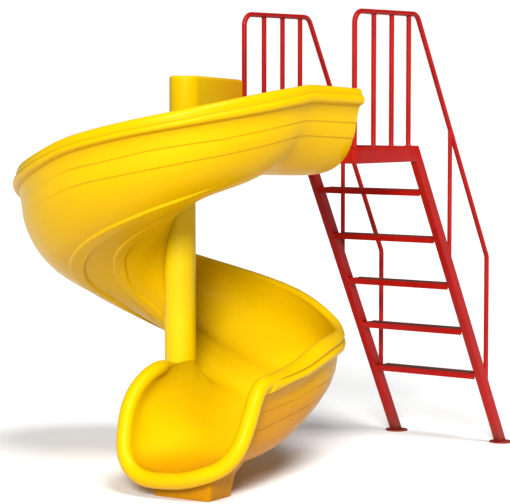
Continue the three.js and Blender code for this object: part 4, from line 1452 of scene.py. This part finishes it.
def tread_section():
    """Outline of the folded pan, across its depth and height, with its wear."""
    r, t, d, h = FOLD_ROUND, SHEET, TREAD_DEPTH, TREAD_THICK
    rows = [(0, 0, 1), (0, h * 0.5, 0), (0, h - r, 0.6)]
    for angle in np.radians(np.linspace(180, 90, 5)):
        rows.append((r + r * math.cos(angle), h - r + r * math.sin(angle), 1))
    rows += [(10, h, 0.4), (13, h - 2.2, 0), (d - 13, h - 2.2, 0), (d - 10, h, 0.4)]
    for angle in np.radians(np.linspace(90, 0, 5)):
        rows.append((d - r + r * math.cos(angle), h - r + r * math.sin(angle), 1))
    rows += [(d, h * 0.5, 0), (d, 0, 1), (d - t, 0, 1), (d - t, h - 6, 0), (d - 8, h - 7, 0), (8, h - 7, 0),
             (t, h - 6, 0), (t, 0, 1)]
    rows = np.array(rows)
    return rows[:, :2], rows[:, 2]


pan_section, pan_edge = tread_section()
print("points round a tread:", len(pan_section))

# %% Tread pans and grip strips
GRIP_SIDE, GRIP_FRONT, GRIP_SINK, GRIP_THICK = 14, 13.5, 2.4, 2.3

for i in range(TREADS):
    number = TREADS - i
    z0 = PLATFORM - FIRST_DROP - i * TREAD_PITCH
    y0 = stringer_back(z0 + TREAD_THICK / 2)
    xs = np.linspace(INNER_LEFT, INNER_RIGHT, 14)
    pan = Shape()
    pan.loft(np.array([[(x, y0 + y, z0 + z) for y, z in pan_section] for x in xs]) * MM,
             edge=np.tile(pan_edge, len(xs)))
    steel_piece(pan, "tread_pan_%d" % number, "tread_%d" % number)
    strip = Shape()

    def on_strip(u, v, share, back, y0=y0, z0=z0):
        return (INNER_LEFT + GRIP_SIDE + (INNER_WIDTH - 2 * GRIP_SIDE) * share + back,
                y0 + GRIP_FRONT + u, z0 + TREAD_THICK - GRIP_SINK + v)

    bar(strip, on_strip, 6, TREAD_DEPTH - 2 * GRIP_FRONT, GRIP_THICK, 0.9)
    strip.piece("tread_grip_%d" % number, grit, "")

# %% [markdown]
# Guard rails
#
# Each guard is one bent tube: up from the platform, level over the balusters, down along the
# ladder, and upright again into the stringer. A bend in a tube is an arc between two straight
# runs. The path is made of corner points, and each corner is replaced by an arc.

# %% Bent tube
BEND_RADIUS, ARC_STEPS, STRAIGHT_STEP = 58.0, 10, 45.0


def straight_run(start, end):
    run = max(2, int(np.linalg.norm(end - start) / STRAIGHT_STEP))
    return [start + (end - start) * s for s in np.linspace(0, 1, run)]


def bent_path(corners, radius):
    """Points along straight runs joined by round bends."""
    corners = [np.asarray(c, float) for c in corners]
    path, start = [], corners[0]
    for before, corner, after in zip(corners[:-2], corners[1:-1], corners[2:]):
        back, ahead = before - corner, after - corner
        back, ahead = back / np.linalg.norm(back), ahead / np.linalg.norm(ahead)
        half = math.acos(np.clip(np.dot(back, ahead), -1, 1)) / 2
        trim = radius / math.tan(half)
        first, last = corner + back * trim, corner + ahead * trim
        middle = corner + (back + ahead) / np.linalg.norm(back + ahead) * radius / math.sin(half)
        path += straight_run(start, first)[:-1]
        a, b = first - middle, last - middle
        sweep = math.acos(np.clip(np.dot(a, b) / radius**2, -1, 1))
        for s in np.linspace(0, 1, ARC_STEPS):
            turned_to = a * math.sin((1 - s) * sweep) + b * math.sin(s * sweep)
            path.append(middle + turned_to / math.sin(sweep))
        start = path.pop()
    return np.array(path + straight_run(start, corners[-1]))


print("bends of the rails: %.0f mm to the middle of the tube" % BEND_RADIUS)

# %% [markdown]
# Posts
#
# A baluster is a straight tube between two welds. A weld fills the corner with a small fillet,
# so each end of the tube widens in three short steps, and there the paint wears first.

# %% Posts and their welds
TUBE_SIDES, POST_STEPS, WELD_ZONE, POST_WEAR = 24, 14, 4, 0.12
# Rings of a weld: how far it stands out from the tube, and its height.
WELD = [(3.6, 0.0), (2.0, 1.6), (0.8, 3.6)]


def welded_post(shape, x, y, bottom, top, radius, flare_top=True):
    """Upright tube whose ends flare into their welds."""
    middle = [(radius, z) for z in np.linspace(bottom + 9, top - 9, POST_STEPS)]
    foot = [(radius + out, bottom + up) for out, up in WELD]
    head = [(r, top - (z - bottom)) for r, z in reversed(foot)] if flare_top else [(radius, top)]
    profile = foot + middle + head
    worn = [1.0 if z < bottom + WELD_ZONE or z > top - WELD_ZONE else POST_WEAR for _, z in profile]
    shape.loft(turned(profile, TUBE_SIDES, (x, y)) * MM, edge=np.repeat(worn, TUBE_SIDES))


print("rings of a post:", 2 * len(WELD) + POST_STEPS)

# %% [markdown]
# The two guards
#
# Both guards are alike, so a loop makes the left one and then the right one. Hands polish the
# sloping part most, and the wear value rises where it starts.

# %% Guard rails
BALUSTERS, BALUSTER_TUBE, PROP_TUBE = (160, 313, 462), TUBE * 0.95, TUBE * 0.9
INTO_RAIL, INTO_HANDRAIL, PROP_IN_STRINGER, DROP_IN_STRINGER = 1.5, 6, 24, 34
GRIP_WEAR, HANDRAIL_WEAR, HANDRAIL_STARTS = 0.10, 0.25, (900, 1000)
FRONT_WELD = [(TUBE + 4, PLATFORM + SEAT), (TUBE + 2.2, PLATFORM + 2), (TUBE + 0.6, PLATFORM + 4.2),
              (TUBE - 0.5, PLATFORM + 6)]

for side, x in SIDES:
    path = bent_path([
        (x, FRONT_Y, PLATFORM + SEAT), (x, FRONT_Y, GUARD_TOP), (x, HANDRAIL_TOP_Y, GUARD_TOP),
        (x, HANDRAIL_DROP_Y, handrail_height(HANDRAIL_DROP_Y)),
        (x, HANDRAIL_DROP_Y, stringer_front_height(HANDRAIL_DROP_Y) - DROP_IN_STRINGER)], BEND_RADIUS)
    worn = GRIP_WEAR + HANDRAIL_WEAR * smoothstep(path[:, 1], *HANDRAIL_STARTS)
    rail = Shape()
    rail.loft(tube_rings(path, TUBE - 0.05, TUBE_SIDES) * MM, edge=np.repeat(worn, TUBE_SIDES))
    rail.loft(turned(FRONT_WELD, TUBE_SIDES, (x, FRONT_Y)) * MM, edge=1.0)
    steel_piece(rail, "guard_tube_" + side, "guard_rail_" + side)
    for number, offset in enumerate(BALUSTERS, 1):
        post = Shape()
        welded_post(post, x, FRONT_Y + offset, PLATFORM + SEAT, GUARD_TOP - TUBE + INTO_RAIL, BALUSTER_TUBE)
        steel_piece(post, "baluster_tube_%s_%d" % (side, number), "baluster_%s_%d" % (side, number))
    post = Shape()
    welded_post(post, x, MID_POST_Y, stringer_front_height(MID_POST_Y) - PROP_IN_STRINGER,
                handrail_height(MID_POST_Y) - INTO_HANDRAIL, PROP_TUBE, flare_top=False)
    steel_piece(post, "handrail_prop_" + side, "handrail_post_" + side)

# %% [markdown]
# Floor and light
#
# The stage is a pale floor and soft light, as in a catalogue. Sun lamps light the floor evenly
# as far as the horizon, and a wide angle makes their shadows soft. The main one stands close to
# the camera, a second one higher on the right, a weak one overhead, and the world fills in the
# rest. The world is brighter for the camera than for the object, so the background stays white.

# %% Stage
FLOOR_HALF, WORLD_LIGHT, WORLD_SEEN = 150.0, 0.12, 1.0
FLOOR_DARK, FLOOR_PALE = (0.94, 0.94, 0.94), (0.96, 0.96, 0.955)
floor_mesh = bpy.data.meshes.new("stage_floor")
floor_corners = [(x * FLOOR_HALF, y * FLOOR_HALF, 0) for x, y in ((-1, -1), (1, -1), (1, 1), (-1, 1))]
floor_mesh.from_pydata(floor_corners, [], [(0, 1, 2, 3)])
floor_finish = Finish("pale_studio_floor", {"Roughness": 0.9, "Specular IOR Level": 0.2})
patches = floor_finish.noise(0.7, 2.0).between(0.3, 0.7)
floor_finish.set("Base Color", floor_finish.mixed(patches, FLOOR_DARK, FLOOR_PALE))
floor_mesh.materials.append(floor_finish.material)
floor = bpy.data.objects.new("stage_floor", floor_mesh)
bpy.context.scene.collection.objects.link(floor)
print("floor:", 2 * FLOOR_HALF, "m wide")

# %% [markdown]
# World and lamps
#
# Each lamp is placed by an angle round the object and an angle above the ground, as one would
# describe it in a studio.

# %% World and lamps
bpy.context.scene.view_settings.view_transform = "Standard"
world = bpy.data.worlds.new("studio")
backdrop = Graph(world, "Background", {"Color": (1.0, 1.0, 1.0, 1.0)})
looking = backdrop.node("ShaderNodeLightPath", {}, {}, "Is Camera Ray")
backdrop.set("Strength", backdrop.node("ShaderNodeMapRange", {}, {
    "Value": looking, "To Min": WORLD_LIGHT, "To Max": WORLD_SEEN}))
bpy.context.scene.world = world


def soft_sun(name, azimuth, elevation, width, power):
    data = bpy.data.lights.new(name, "SUN")
    data.angle, data.energy = math.radians(width), power
    lamp = bpy.data.objects.new(name, data)
    az, el = math.radians(azimuth), math.radians(elevation)
    away = Vector((math.sin(az) * math.cos(el), -math.cos(az) * math.cos(el), math.sin(el)))
    lamp.rotation_euler = away.to_track_quat("Z", "Y").to_euler()
    bpy.context.scene.collection.objects.link(lamp)
    print("%-5s %4d deg round, %3d deg up, strength %.2f" % (name, azimuth, elevation, power))


soft_sun("key", 33, 23, 16, 4.2)
soft_sun("side", 58, 50, 20, 2.4)
soft_sun("top", 60, 78, 70, 0.3)
